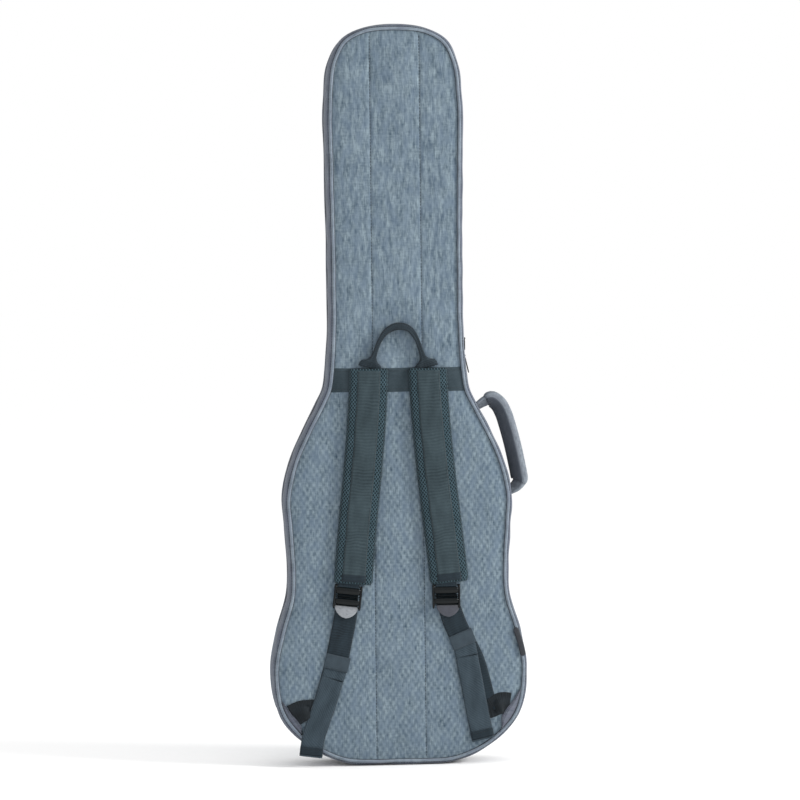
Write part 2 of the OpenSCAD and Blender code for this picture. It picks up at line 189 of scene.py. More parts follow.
# ---------------------------------------------------------------- mesh builders
def make_object(name, verts, faces, uvs, material):
    """A smooth mesh. uvs holds one pair in metres for each face corner."""
    mesh = bpy.data.meshes.new(name)
    mesh.from_pydata(np.asarray(verts, float).tolist(), [], faces)
    layer = mesh.uv_layers.new(name="UVMap")
    layer.data.foreach_set("uv", np.asarray(uvs, np.float32).ravel())
    mesh.polygons.foreach_set("use_smooth", np.ones(len(mesh.polygons), bool))
    mesh.materials.append(material)
    tidy = bmesh.new()
    tidy.from_mesh(mesh)
    bmesh.ops.recalc_face_normals(tidy, faces=tidy.faces)
    tidy.to_mesh(mesh)
    tidy.free()
    obj = bpy.data.objects.new(name, mesh)
    bpy.context.scene.collection.objects.link(obj)
    return obj


def grid(points, s, t, close_s=False, close_t=False, cap_s=False):
    """Faces and corner UVs of a grid of points[i, j]. Closed directions wrap; cap_s shuts both ends."""
    n, m = points.shape[:2]
    faces, uvs = [], []
    for i in range(n if close_s else n - 1):
        for j in range(m if close_t else m - 1):
            a, b = (i + 1) % n, (j + 1) % m
            faces.append((i * m + j, a * m + j, a * m + b, i * m + b))
            uvs += [(t[j], s[i]), (t[j], s[i + 1]), (t[j + 1], s[i + 1]), (t[j + 1], s[i])]
    if cap_s:
        for i, order in ((0, range(m)), (n - 1, range(m - 1, -1, -1))):
            faces.append(tuple(i * m + j for j in order))
            uvs += [(t[j], s[i]) for j in order]
    return points.reshape(-1, 3), faces, uvs


def merge(parts):
    """Joins several (points, faces, uvs) into one."""
    verts, faces, uvs, base = [], [], [], 0
    for points, part_faces, part_uvs in parts:
        verts.append(points)
        faces += [tuple(k + base for k in face) for face in part_faces]
        uvs += part_uvs
        base += len(points)
    return np.concatenate(verts), faces, uvs


def outline_sweep(profile, closed, keep=None, wobble=0.0, seed=3):
    """Sweeps a profile of (inset, y) round the outline. keep picks a stretch of outline points."""
    profile = np.array(profile, float)
    rows = np.arange(len(LOOP)) if keep is None else keep
    loop, out = LOOP[rows], LOOP_OUT[rows]
    inset, y = profile[:, 0], profile[:, 1]
    push = wobble * waves(loop[:, 0], loop[:, 1], seed, 0.07)
    flat = loop[:, None, :] - out[:, None, :] * (inset[None, :, None] - push[:, None, None])
    height = np.maximum(flat[..., 1], 0.1 * MM)
    points = np.stack([flat[..., 0], np.broadcast_to(y, flat.shape[:2]), height], -1)
    around = run_of(ringed(profile))
    s = LOOP_S[rows] if keep is not None else LOOP_S
    return grid(points, s, around, close_s=keep is None, close_t=closed, cap_s=closed and keep is not None)


def ring_profile(inset, y, radius, sides=10, flat=1.0):
    """Round or oval profile about one inset and depth."""
    angles = np.arange(sides) * 2 * math.pi / sides
    return [(inset + radius * math.cos(a), y - radius * flat * math.sin(a)) for a in angles]


def rounded_section(width, thick, crown=0.0, columns=13):
    """Closed cross-section of webbing or a pad: (across, outwards), with its inner face at 0."""
    u = np.linspace(-1, 1, columns)
    edge = np.sqrt(np.clip(1 - np.abs(u) ** 12, 0, 1))
    top = thick * (0.5 + 0.5 * edge) + crown * (1 - u**2)
    low = thick * (0.5 - 0.5 * edge)
    across = u * width / 2
    upper = np.stack([across, top], 1)
    lower = np.stack([across, low], 1)[::-1][1:-1]
    return np.concatenate([upper, lower])


def ribbon(path, across, section):
    """Sweeps a closed section along a 3-D path. across holds the width direction at each point."""
    across = unit(across)
    out = np.cross(directions(path), across)
    section = np.asarray(section, float)
    if section.ndim == 2:
        section = np.broadcast_to(section, (len(path),) + section.shape)
    points = path[:, None] + across[:, None] * section[..., :1] + out[:, None] * section[..., 1:]
    return grid(points, run_of(path), run_of(ringed(section[len(path) // 2])), close_t=True, cap_s=True)


def mirrored(width, thick, crown, columns, lift=0.0):
    """rounded_section turned over, for a ribbon whose outside looks to the front."""
    return [(a, lift - b) for a, b in rounded_section(width, thick, crown, columns)]


def stitches(line, normal, pitch=4.2 * MM, length=2.9 * MM, radius=0.42 * MM):
    """A run of thread dashes along a 3-D line; normal points away from the cloth."""
    total = run_of(line)
    count = max(1, int(total[-1] / pitch))
    mids = (np.arange(count) + 0.5) * total[-1] / count
    normal = np.broadcast_to(np.asarray(normal, float), line.shape)
    at, way, up = (np.stack([np.interp(mids, total, row[:, k]) for k in range(3)], 1)
                   for row in (line, directions(line), normal))
    way, up = unit(way), unit(up)
    side = np.cross(way, up)
    parts = []
    stations = [(-0.5, 0.35, -0.7), (-0.3, 1.0, 0.0), (0.3, 1.0, 0.0), (0.5, 0.35, -0.7)]
    angles = np.arange(6) * math.pi / 3
    for c, w, u, v in zip(at, way, up, side):
        rows = []
        for along, size, sink in stations:
            rows.append([c + w * along * length + u * (sink * radius + size * radius * math.sin(a))
                         + v * size * radius * math.cos(a) for a in angles])
        parts.append(grid(np.array(rows), [0, 0.001, 0.002, 0.003], np.arange(7) * 0.001,
                          close_t=True, cap_s=True))
    return merge(parts)


# ---------------------------------------------------------------- materials
LIGHT_LEVEL = 1.75


def rgb(r, g, b):
    """Screen colour of 0 to 255 as the linear colour that shows as it in the studio's light."""
    return tuple((((c / 255 + 0.055) / 1.055) ** 2.4 if c > 10 else c / 255 / 12.92) / LIGHT_LEVEL
                 for c in (r, g, b)) + (1.0,)


class Shade:
    """A Principled material built from nodes, with the UV map read in metres."""

    def __init__(self, name, roughness, **sockets):
        self.mat = bpy.data.materials.new(name)
        self.mat.use_nodes = True
        self.tree = self.mat.node_tree
        self.tree.nodes.clear()
        self.bsdf = self.node("BsdfPrincipled")
        self.put(self.node("OutputMaterial").inputs["Surface"], self.bsdf.outputs[0])
        self.bsdf.inputs["Roughness"].default_value = roughness
        for socket, value in sockets.items():
            self.bsdf.inputs[socket.replace("_", " ")].default_value = value
        uv = self.node("UVMap")
        uv.uv_map = "UVMap"
        split = self.node("SeparateXYZ", uv.outputs[0])
        self.u, self.v = split.outputs[0], split.outputs[1]

    def put(self, socket, value):
        """Links a socket's output into this one, or sets a plain value."""
        if isinstance(value, bpy.types.NodeSocket):
            self.tree.links.new(value, socket)
        else:
            socket.default_value = value

    def node(self, kind, *values):
        """A new node whose first inputs take these values."""
        node = self.tree.nodes.new("ShaderNode" + kind)
        for socket, value in zip(node.inputs, values):
            self.put(socket, value)
        return node

    def math(self, kind, a, b=0.0):
        node = self.node("Math", a, b)
        node.operation = kind
        return node.outputs[0]

    def add(self, *terms):
        total = terms[0]
        for term in terms[1:]:
            total = self.math("ADD", total, term)
        return total

    def mul(self, a, b):
        return self.math("MULTIPLY", a, b)

    def wave(self, x, period, shift=0.0):
        """Sine of -1 to 1 with that period in metres."""
        return self.math("SINE", self.add(self.mul(x, 2 * math.pi / period), shift))

    def noise(self, across, along, detail=2.0, offset=0.0):
        """Noise about 0, whose cells are across by along metres."""
        join = self.node("CombineXYZ", self.mul(self.u, 1 / across), self.mul(self.v, 1 / along), offset)
        node = self.node("TexNoise", join.outputs[0])
        node.inputs["Scale"].default_value = 1.0
        node.inputs["Detail"].default_value = detail
        return self.math("SUBTRACT", node.outputs[0], 0.5)

    def ramp(self, value, low, high):
        """value moved to 0 at low and 1 at high, clamped."""
        return self.node("MapRange", value, low, high).outputs[0]

    def mix(self, factor, a, b):
        """Colour a going over to colour b."""
        node = self.node("Mix", factor)
        node.data_type = "RGBA"
        node.clamp_factor = True
        self.put(node.inputs[6], a)
        self.put(node.inputs[7], b)
        return node.outputs[2]

    def colour(self, value):
        self.put(self.bsdf.inputs["Base Color"], value)
        return self

    def bump(self, height, distance, strength=1.0):
        node = self.node("Bump")
        node.inputs["Strength"].default_value = strength
        node.inputs["Distance"].default_value = distance
        self.put(node.inputs["Height"], height)
        self.tree.links.new(node.outputs[0], self.bsdf.inputs["Normal"])
        return self


def heather(name, dark, light, blue, body=1.0):
    """Heathered two-tone weave: light flecks in staggered rows, with long streaks of the warp."""
    s = Shade(name, 0.92, Sheen_Weight=0.12, Sheen_Roughness=0.6, Specular_IOR_Level=0.18)
    drift = s.mul(s.noise(0.030, 0.050, 1.0), 0.004)
    u = s.add(s.u, drift)
    flecks = s.mul(s.wave(u, 0.0108), s.wave(s.v, 0.0154))
    streaks = s.noise(0.0060, 0.030, 2.0)
    ticks = s.noise(0.0120, 0.0030, 1.0, 12.0)
    fine_streaks = s.noise(0.0019, 0.012, 1.0, 4.0)
    grain = s.noise(0.0016, 0.0022, 2.0, 9.0)
    up = s.ramp(s.v, 0.52, 0.78)
    fleck_share = s.math("SUBTRACT", 0.21 * body, s.mul(up, 0.13 * body))
    streak_share = s.add(0.75, s.mul(up, 0.75))
    cloud = s.noise(0.060, 0.090, 1.0, 2.0)
    level = s.add(0.5, s.mul(flecks, fleck_share), s.mul(streaks, streak_share), s.mul(fine_streaks, 0.9),
                  s.mul(ticks, 0.55), s.mul(grain, 0.35), s.mul(cloud, 0.35))
    warp = s.mul(s.wave(s.u, 0.0019), s.wave(s.v, 0.0021))
    cloth = s.mix(level, dark, light)
    hue = s.ramp(s.noise(0.012, 0.028, 1.0, 6.0), -0.12, 0.18)
    s.colour(s.mix(s.mul(hue, 0.55), cloth, blue))
    return s.bump(s.add(s.mul(warp, 0.5), s.mul(grain, 1.2), s.mul(flecks, 0.35)), 0.00045, 0.55).mat


def ribbed(name, dark, light, period=0.0056, slant=0.0, roughness=0.78):
    """Woven webbing with fine ribs across it, broad bars of tone that curve, and rubbed patches."""
    s = Shade(name, roughness, Sheen_Weight=0.04, Specular_IOR_Level=0.22)
    bend = s.mul(s.noise(0.030, 0.050, 1.0), 0.010)
    at = s.add(s.v, bend, s.mul(s.u, slant))
    broad = s.wave(at, period)
    fine = s.wave(s.add(s.v, s.mul(bend, 0.3), s.mul(s.u, slant)), 0.0021)
    rows = s.wave(s.u, 0.0017)
    wear = s.noise(0.016, 0.050, 2.0, 3.0)
    comes = s.ramp(s.noise(0.060, 0.030, 1.0, 8.0), -0.25, 0.25)
    fibre = s.noise(0.0030, 0.0012, 2.0, 2.0)
    level = s.add(0.42, s.mul(s.mul(broad, comes), 0.20), s.mul(fine, 0.15), s.mul(rows, 0.04),
                  s.mul(wear, 0.9), s.mul(fibre, 0.5))
    s.colour(s.mix(level, dark, light))
    return s.bump(s.add(s.mul(broad, 0.12), s.mul(fine, 0.6), s.mul(rows, 0.3)), 0.0005, 0.6).mat


def diamond_mesh(name, dark, light):
    """Knitted spacer mesh: light threads crossing in diamonds over a dark ground."""
    s = Shade(name, 0.85, Sheen_Weight=0.04, Specular_IOR_Level=0.2)
    sway = s.mul(s.noise(0.012, 0.030, 1.0), 0.0030)
    a = s.wave(s.add(s.mul(s.u, 1.35), s.v, sway), 0.0068)
    b = s.wave(s.add(s.mul(s.u, -1.35), s.v, sway), 0.0068)
    threads = s.math("MAXIMUM", a, b)
    holes = s.ramp(threads, 0.45, 1.0)
    level = s.add(s.mul(holes, 0.95), s.mul(s.noise(0.006, 0.014), 0.7), -0.05)
    s.colour(s.mix(level, dark, light))
    return s.bump(s.add(threads, s.mul(s.noise(0.001, 0.001), 0.5)), 0.0007, 0.8).mat


def plain_cloth(name, dark, light, roughness=0.9, sheen=0.1, pitch=0.0014):
    """Close plain weave, with a soft change of tone."""
    s = Shade(name, roughness, Sheen_Weight=sheen, Specular_IOR_Level=0.25)
    weave = s.mul(s.wave(s.u, pitch), s.wave(s.v, pitch))
    cloud, grain = s.noise(0.012, 0.020), s.noise(0.0012, 0.0012)
    level = s.add(0.5, s.mul(weave, 0.18), s.mul(cloud, 0.9), s.mul(grain, 0.6))
    s.colour(s.mix(level, dark, light))
    return s.bump(weave, 0.0003, 0.6).mat


def plush_cloth(name, dark, light):
    """Brushed pile, mottled where it lies one way or the other."""
    s = Shade(name, 0.96, Sheen_Weight=0.45, Sheen_Roughness=0.45, Specular_IOR_Level=0.1)
    pile = s.noise(0.0011, 0.0016, 3.0)
    lay = s.noise(0.045, 0.070, 2.0, 5.0)
    s.colour(s.mix(s.add(0.5, s.mul(pile, 0.9), s.mul(lay, 1.1)), dark, light))
    return s.bump(pile, 0.0008, 0.7).mat


def moulded(name, dark, light, roughness, specular=0.5, coat=0.0, metallic=0.0):
    """Moulded or cast part: fine grain, with scuffs that change its gloss."""
    s = Shade(name, roughness, Specular_IOR_Level=specular, Coat_Weight=coat, Metallic=metallic)
    grain = s.noise(0.0007, 0.0007, 2.0)
    scuff = s.noise(0.006, 0.003, 4.0, 2.0)
    s.colour(s.mix(s.add(0.4, s.mul(scuff, 1.2), s.mul(grain, 0.4)), dark, light))
    gloss = s.add(roughness, s.mul(scuff, 0.22))
    s.put(s.bsdf.inputs["Roughness"], gloss)
    return s.bump(grain, 0.0001, 0.35).mat


FABRIC = heather("heather_fabric", rgb(76, 98, 116), rgb(166, 186, 198), rgb(117, 138, 160))
# The side wall fabric is the panel heather made darker and more purple: partly painted shade of the wall that
# turns away from the light.
GUSSET_FABRIC_WITH_PAINTED_SHADE = heather("gusset_fabric_painted_shade", rgb(74, 84, 98), rgb(134, 145, 160), rgb(104, 110, 132), 0.5)
PIPING = heather("piping_cloth", rgb(108, 122, 137), rgb(172, 187, 200), rgb(138, 149, 168), 0.4)
PATCH_FABRIC = heather("patch_fabric", rgb(88, 96, 112), rgb(134, 142, 156), rgb(112, 114, 134), 0.3)
HANDLE_FABRIC = heather("handle_fabric", rgb(104, 114, 126), rgb(170, 180, 190), rgb(136, 142, 156), 0.5)
HANDLE_FACE = plain_cloth("handle_face", rgb(78, 86, 98), rgb(110, 118, 130), 0.85)
BAND = ribbed("band_webbing", rgb(40, 58, 66), rgb(88, 104, 114), 0.0021)
PAD_WEB = ribbed("pad_webbing", rgb(38, 54, 61), rgb(85, 104, 112), 0.0052)
LOOP_WEB = ribbed("loop_webbing", rgb(26, 38, 46), rgb(68, 84, 95), 0.0034)
# Same webbing as the tail, painted much darker: painted shade where it tilts from the light and lies under
# the pad, the buckle and the folds.
WEB_PAINTED_SHADE = ribbed("load_webbing", rgb(14, 28, 37), rgb(54, 72, 84), 0.0042)
TAIL_WEB = ribbed("tail_webbing", rgb(36, 52, 62), rgb(88, 106, 119), 0.0048, -0.9)
# The webbing's lower end is painted almost black: partly its own dark colour, partly painted shade of its
# fold under the arch.
FAN_WEB_PAINTED_SHADE = ribbed("anchor_webbing_painted_shade", rgb(12, 20, 25), rgb(44, 54, 62), 0.0034)
MESH = diamond_mesh("pad_mesh", rgb(20, 39, 47), rgb(88, 116, 128))
ELASTIC = plain_cloth("keeper_elastic", rgb(52, 66, 76), rgb(80, 96, 108), 0.8, 0.06, 0.0011)
PLUSH = plush_cloth("plush_lining", rgb(44, 48, 56), rgb(92, 98, 108))
TAPE = plain_cloth("zip_tape", rgb(22, 26, 28), rgb(50, 55, 58), 0.85, 0.05)
TEETH = moulded("zip_coil", rgb(14, 16, 17), rgb(38, 41, 43), 0.38)
THREAD = plain_cloth("thread", rgb(24, 34, 42), rgb(52, 62, 72), 0.7, 0.1, 0.0005)
BUCKLE = moulded("buckle_acetal", rgb(3, 8, 10), rgb(14, 24, 28), 0.16, 0.22)
# The left tab's light grey is a painted reflection of the light on a dark tab; the right tab keeps the dark
# tab's own colour.
TAB_PAINTED_REFLECTION = moulded("buckle_tab_painted_reflection", rgb(138, 144, 152), rgb(190, 196, 202), 0.3, 0.5, 0.2)
DARK_TAB = moulded("buckle_dark_tab", rgb(50, 54, 66), rgb(80, 84, 98), 0.35, 0.5, 0.2)
SLIDER = moulded("slider_enamel", rgb(18, 19, 20), rgb(48, 50, 52), 0.32, 0.6, 0.2, 0.3)
PULL = moulded("pull_rubber", rgb(16, 18, 19), rgb(40, 43, 45), 0.55, 0.35)
LABEL = moulded("label_rubber", rgb(28, 33, 42), rgb(58, 64, 74), 0.5, 0.4)
FLOOR = Shade("floor_paper", 1.0, Specular_IOR_Level=0.0).colour((1.0, 1.0, 1.0, 1.0)).mat


# ---------------------------------------------------------------- panels and side walls
SEAM_X = 41.5 * MM
PANEL_RISE = 3.5 * MM
PANEL_SINK = 2.3 * MM
HINGE_LOW, HINGE_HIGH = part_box("side_hinge")[0].z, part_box("side_hinge")[1].z


def show(name, parts, material, body, replaces=()):
    """Makes one piece that rides on a body."""
    obj = make_object(name, *parts, material)
    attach(obj, body)
    if replaces:
        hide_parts(*replaces)
    return obj


def eased(count):
    """0 to 1 with points drawn towards both ends."""
    return (1 - np.cos(math.pi * np.arange(count + 1) / count)) / 2


def panel_rows(inset, low=None, high=None):
    """Half width and height of each row of a panel, drawn in from the outline."""
    right = inset_right(inset)
    half = np.append(right[:, 0], 0.0)
    z = np.append(right[:, 1], BAG_H - inset)
    if low is None:
        return half, z
    rows = low + (high - low) * eased(int((high - low) / (5 * MM)) + 16)
    return np.interp(rows, z, half), rows


def gap_to(x, z, line, block=4000):
    """Distance from each point to the nearest point of a line, worked out a block at a time."""
    flat = np.stack([x.ravel(), z.ravel()], 1)
    gap = np.empty(len(flat))
    for k in range(0, len(flat), block):
        gap[k:k + block] = np.sqrt(((flat[k:k + block, None] - line[None]) ** 2).sum(-1).min(1))
    return gap.reshape(x.shape)


def panel_points(inset, low=None, high=None, seams=True, inner=24, outer=26):
    """x, z and distance from the edge at each point of a panel's grid."""
    half, z = panel_rows(inset, low, high)
    if seams:
        seam = np.minimum(SEAM_X, 0.7 * half)
        left = -half[:, None] + (half - seam)[:, None] * eased(outer)
        middle = -seam[:, None] + 2 * seam[:, None] * eased(inner)
        x = np.concatenate([left[:, :-1], middle[:, :-1], -left[:, ::-1]], 1)
    else:
        x = half[:, None] * (2 * eased(2 * outer) - 1)
    zz = np.broadcast_to(z[:, None], x.shape).copy()
    edge = gap_to(x, zz, LOOP - LOOP_OUT * inset)
    edge[:, 0] = edge[:, -1] = 0
    if low is not None:
        edge = np.minimum(edge, np.minimum(zz - low, high - zz))
    return x, zz, edge


def panel_mesh(x, z, y):
    """Grid of a panel, whose last row closes to the one point at its top."""
    points = np.stack([x, y, z], -1)
    n, m = x.shape
    faces, uvs = [], []
    for i in range(n - 1):
        for j in range(m - 1):
            corners = [(i, j), (i, j + 1), (i + 1, j + 1), (i + 1, j)]
            if x[i + 1, -1] < 1e-6 and x[i, -1] >= 1e-6:
                corners = [(i, j), (i, j + 1), (n - 1, 0)]
            faces.append(tuple(a * m + b for a, b in corners))
            uvs += [(x[c], z[c]) for c in corners]
    return points.reshape(-1, 3), faces, uvs


def quilt(x, z, edge, rise, seam=0.0, groove=0.0011, swell=0.0005, seed=11):
    """Height of padding over its edge: it rises from the seam, dips at the stitched lines and undulates."""
    up = 1 - np.exp(-(edge / (11 * MM)) ** 1.25)
    height = rise * up + swell * up * waves(x, z, seed, 0.110)
    if seam:
        off = np.abs(x) - seam
        dip = groove * np.exp(-(off / (2.0 * MM)) ** 2) + groove * np.exp(-np.abs(off) / (12 * MM))
        pucker = 1 + 0.35 * waves(x, z, seed + 1, 0.030)
        height = height - dip * pucker * np.clip(edge / (8 * MM), 0, 1)
    return height


def quilted_panel(name, face_y, sign, body, replaces):
    """Outer panel sewn in three long channels. sign is -1 for the back and +1 for the front."""
    x, z, edge = panel_points(SEAM_INSET)
    y = face_y - sign * PANEL_SINK + sign * quilt(x, z, edge, PANEL_RISE, SEAM_X, seed=11 if sign < 0 else 31)
    obj = show(name, panel_mesh(x, z, y), FABRIC, body, replaces)
    runs = []
    for side in (-1, 1):
        column = int(np.argmin(np.abs(x[len(x) // 2] - side * SEAM_X)))
        rows = slice(6, len(x) - 8)
        line = np.stack([x[rows, column], y[rows, column] + sign * 0.25 * MM, z[rows, column]], 1)
        line = line[np.abs(np.abs(line[:, 0]) - SEAM_X) < 1 * MM]
        runs.append(stitches(resample(line, 4 * MM), (0, sign, 0), pitch=5.2 * MM, length=3.6 * MM))
    show(name + "_stitches", merge(runs), THREAD, body)


def teeth(inset, y0, y1, pitch=3.4 * MM):
    """Row of coil teeth round the outline, left out along the fabric hinge."""
    count = int(LOOP_S[-1] / pitch)
    at = (np.arange(count) + 0.5) * LOOP_S[-1] / count
    closed, outs = ringed(LOOP), ringed(LOOP_OUT)
    parts = []
    for s in at:
        c = np.array([np.interp(s, LOOP_S, closed[:, k]) for k in (0, 1)])
        o = unit(np.array([np.interp(s, LOOP_S, outs[:, k]) for k in (0, 1)]))
        if c[0] < 0 and HINGE_LOW - 2 * MM < c[1] < HINGE_HIGH + 2 * MM:
            continue
        w = np.array([-o[1], o[0]]) * pitch * 0.33
        c = c - o * inset
        rows = []
        for depth, size in ((0, 0.75), (0.35, 1.0), (0.8, 0.9), (1, 0.55)):
            y = y0 + (y1 - y0) * depth
            ring = [c + w * a * size + o * b * size for a, b in
                    ((-1, -0.0008), (-1, 0.0008), (0, 0.0012), (1, 0.0008), (1, -0.0008))]
            rows.append([(p[0], y, p[1]) for p in ring])
        parts.append(grid(np.array(rows), [0, 0.001, 0.002, 0.003], np.arange(6) * 0.001,
                          close_t=True, cap_s=True))
    return merge(parts)


def outside_hinge():
    """Outline points in order, starting above the hinge and ending below it."""
    inside = along_hinge(4 * MM)
    order = np.roll(np.arange(len(LOOP)), -int(inside.max()) - 1)
    return np.array([k for k in order if k not in inside])


def along_hinge(spare):
    """Outline points beside the hinge, with some to spare above and below it."""
    inside = (LOOP[:, 0] < 0) & (LOOP[:, 1] > HINGE_LOW - spare) & (LOOP[:, 1] < HINGE_HIGH + spare)
    return np.where(inside)[0]


def run_sweep(profile, rows, closed):
    """outline_sweep over rows that may pass the outline's first point."""
    profile = np.array(profile, float)
    points = outline_sweep(profile, closed, keep=rows)[0].reshape(len(rows), len(profile), 3)
    return grid(points, run_of(points[:, 0]), run_of(ringed(profile)), close_t=closed, cap_s=closed)


def build_edge(name, body, face, way, seed):
    """Piping and seam round one half. way is 1 for the back and -1 for the front."""
    cord = ring_profile(PIPING_INSET, face + way * 0.5 * MM, 2.6 * MM, 12, 0.95)
    show(name + "_Piping", outline_sweep(cord, True, wobble=0.25 * MM, seed=seed), PIPING, body,
         [name.lower() + "_piping"])
    seam = ring_profile(SEAM_INSET - 0.1 * MM, face + way * 1.0 * MM, 0.8 * MM, 8)
    show(name + "_Seam", outline_sweep(seam, True, wobble=0.15 * MM, seed=seed), THREAD, body)


def build_wall(name, body, face, wall, wobble, seed, replaces):
    """Side wall of one half, from (inset, depth from its face) in millimetres."""
    profile = [(a * MM, face + b * MM) for a, b in wall]
    # The wall's darker colour is partly painted shade.
    show(name, outline_sweep(profile, False, wobble=wobble, seed=seed), GUSSET_FABRIC_WITH_PAINTED_SHADE, body,
         replaces)


def build_zip(name, body, tape_y, way):
    """Tape and teeth of the zip on one half."""
    tape = [(1.0 * MM, tape_y - way * 1.5 * MM), (0.9 * MM, tape_y + way * 1.5 * MM),
            (1.1 * MM, PART_Y - way * 1.9 * MM), (2.3 * MM, PART_Y - way * 1.8 * MM), (2.6 * MM, tape_y)]
    show(name + "_Zip_Tape", run_sweep(tape, outside_hinge(), True), TAPE, body,
         [name.lower() + "_zip_tape"])
    row = teeth(1.2 * MM, PART_Y - way * 2.1 * MM, PART_Y - way * 0.35 * MM)
    show(name + "_Zip_Teeth", row, TEETH, body, [name.lower() + "_zip_teeth"])


def build_shell():
    """Outside of the tray: back panel, piping, side wall and its half of the zip."""
    quilted_panel("Back_Panel", BACK_Y, -1, "shell", ["back_panel"])
    build_edge("Back", "shell", BACK_Y, 1, 3)
    wall = [(6.4, 2.6), (5.0, 1.9), (3.2, 2.6), (1.4, 5.2), (0.2, 9.5), (-0.7, 17), (-1.0, 30), (-0.9, 44),
            (-0.4, 56), (0.2, 64), (0.5, 67.6), (1.2, 69.0), (2.2, 69.2)]
    build_wall("Gusset", "shell", BACK_Y, wall, 0.5 * MM, 5, ["gusset", "base_gusset"])
    line = ringed(LOOP - LOOP_OUT * 3.6 * MM)
    line = np.stack([line[:, 0], np.full(len(line), BACK_Y + 2.2 * MM), line[:, 1]], 1)
    outs = ringed(LOOP_OUT)
    normal = np.stack([outs[:, 0], np.full(len(outs), -1.0), outs[:, 1]], 1)
    show("Gusset_Topstitch", stitches(line, normal, 4.6 * MM, 3.2 * MM, 0.35 * MM), THREAD, "shell")
    build_zip("Rear", "shell", TAPE_Y, 1)


def build_hinge():
    """Fabric that joins the two halves on the left side."""
    y = [TAPE_Y - 2.0 * MM, TAPE_Y + 1.0 * MM, PART_Y - 3 * MM, PART_Y - 1.2 * MM, PART_Y, PART_Y + 1.2 * MM,
         PART_Y + 3 * MM, LID_TAPE_Y - 1 * MM, LID_TAPE_Y + 2.0 * MM]
    out = [-0.2, -0.7, -0.9, -1.0, -1.05, -1.0, -0.9, -0.7, -0.2]
    outer = [(a * MM, b) for a, b in zip(out, y)]
    inner = [(a * MM + 1.1 * MM, b) for a, b in zip(out, y)][::-1]
    obj = make_object("Side_Hinge", *run_sweep(outer + inner, along_hinge(6 * MM), True), PIPING)
    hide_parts("side_hinge")
    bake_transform(obj)


def build_lining():
    """Padded floor and sides of the tray, with a bound rim."""
    x, z, edge = panel_points(13.5 * MM, inner=16, outer=18)
    y = TRAY_FLOOR_Y - 1.4 * MM + quilt(x, z, edge, 2.2 * MM, SEAM_X, 0.0008, seed=41)
    floor = show("Back_Lining", panel_mesh(x, z, y), PLUSH, "shell", ["back_lining", "back_foam"])
    top = TAPE_Y
    wall = [(14.6 * MM, TRAY_FLOOR_Y - 1.5 * MM), (14.2 * MM, TRAY_FLOOR_Y + 8 * MM), (14.6 * MM, -5 * MM),
            (14.4 * MM, top - 8 * MM), (13.4 * MM, top - 2.6 * MM), (11.2 * MM, top - 0.6 * MM),
            (7.5 * MM, top + 0.2 * MM), (4.0 * MM, top - 0.4 * MM), (2.4 * MM, top - 1.0 * MM)]
    show("Side_Lining", outline_sweep(wall, False, wobble=0.6 * MM, seed=6), PLUSH, "shell",
         ["gusset_lining", "base_gusset_foam", "left_gusset_foam", "right_gusset_foam",
          "left_neck_foam", "right_neck_foam", "top_gusset_foam"])
    binding = ring_profile(3.4 * MM, top + 0.1 * MM, 1.6 * MM, 10, 0.8)
    show("Rim_Binding", outline_sweep(binding, True, wobble=0.1 * MM), TAPE, "shell")


def build_lid():
    """Front half: panel, piping, short side wall, its half of the zip and its lining."""
    quilted_panel("Front_Panel", FRONT_Y, 1, "lid", ["front_panel"])
    build_edge("Front", "lid", FRONT_Y, -1, 8)
    wall = [(6.4, -2.6), (5.0, -2.1), (3.2, -2.8), (1.4, -4.4), (0.2, -7.0), (-0.3, -9.4), (0.3, -11.4),
            (1.2, -12.2), (2.2, -12.4)]
    build_wall("Front_Gusset", "lid", FRONT_Y, wall, 0.4 * MM, 9, ["front_gusset"])
    build_zip("Front", "lid", LID_TAPE_Y, -1)
    x, z, edge = panel_points(2.4 * MM, inner=16, outer=18)
    y = LID_TAPE_Y + 1.0 * MM - quilt(x, z, edge, 2.6 * MM, SEAM_X, 0.0008, seed=43)
    inner = show("Front_Lining", panel_mesh(x, z, y), PLUSH, "lid",
                 ["front_lining", "lower_front_foam", "middle_front_foam", "upper_front_foam"])


def surface_y(x, z):
    """Depth of the back panel's outer face at points given by x and z."""
    edge = gap_to(x, z, LOOP - LOOP_OUT * SEAM_INSET)
    return BACK_Y + PANEL_SINK - quilt(x, z, edge, PANEL_RISE, SEAM_X, seed=11)


def loft(rings):
    """Closed skin over a row of rings of points."""
    rings = np.array(rings, float)
    around = run_of(ringed(rings[len(rings) // 2]))
    return grid(rings, run_of(rings.mean(1)), around, close_t=True, cap_s=True)


def oval(width, depth, sides=16, power=2.0):
    """Closed oval or rounded-rectangle section."""
    a = np.arange(sides) * 2 * math.pi / sides
    c, s = np.cos(a), np.sin(a)
    return np.stack([np.sign(c) * np.abs(c) ** (2 / power) * width / 2,
                     np.sign(s) * np.abs(s) ** (2 / power) * depth / 2], 1)


def build_band():
    """Band across the shoulders, with a stitched edge above and below."""
    levels = np.linspace(BAND_LOW, BAND_HIGH, 9)
    half, z = panel_rows(SEAM_INSET - 0.6 * MM)
    width = np.interp(levels, z, half)
    u = np.linspace(-1, 1, 61)
    x = width[:, None] * u
    zz = np.broadcast_to(levels[:, None], x.shape) + 0.35 * MM * waves(x, 0 * x, 21, 0.09)
    face = surface_y(x, zz)
    rim = np.minimum(1, (1 - np.abs(np.linspace(-1, 1, 9))) * 5)[:, None]
    y = face - (0.25 + 0.75 * rim) * MM
    front = np.stack([x, y, zz], -1)
    show("Yoke_Band", grid(front, levels, u * width[4]), BAND, "shell", ["yoke_band"])
    runs = [stitches(resample(front[k], 4 * MM), BACKWARDS, 3.6 * MM, 2.5 * MM, 0.35 * MM) for k in (1, 7)]
    show("Yoke_Band_stitches", merge(runs), THREAD, "shell")


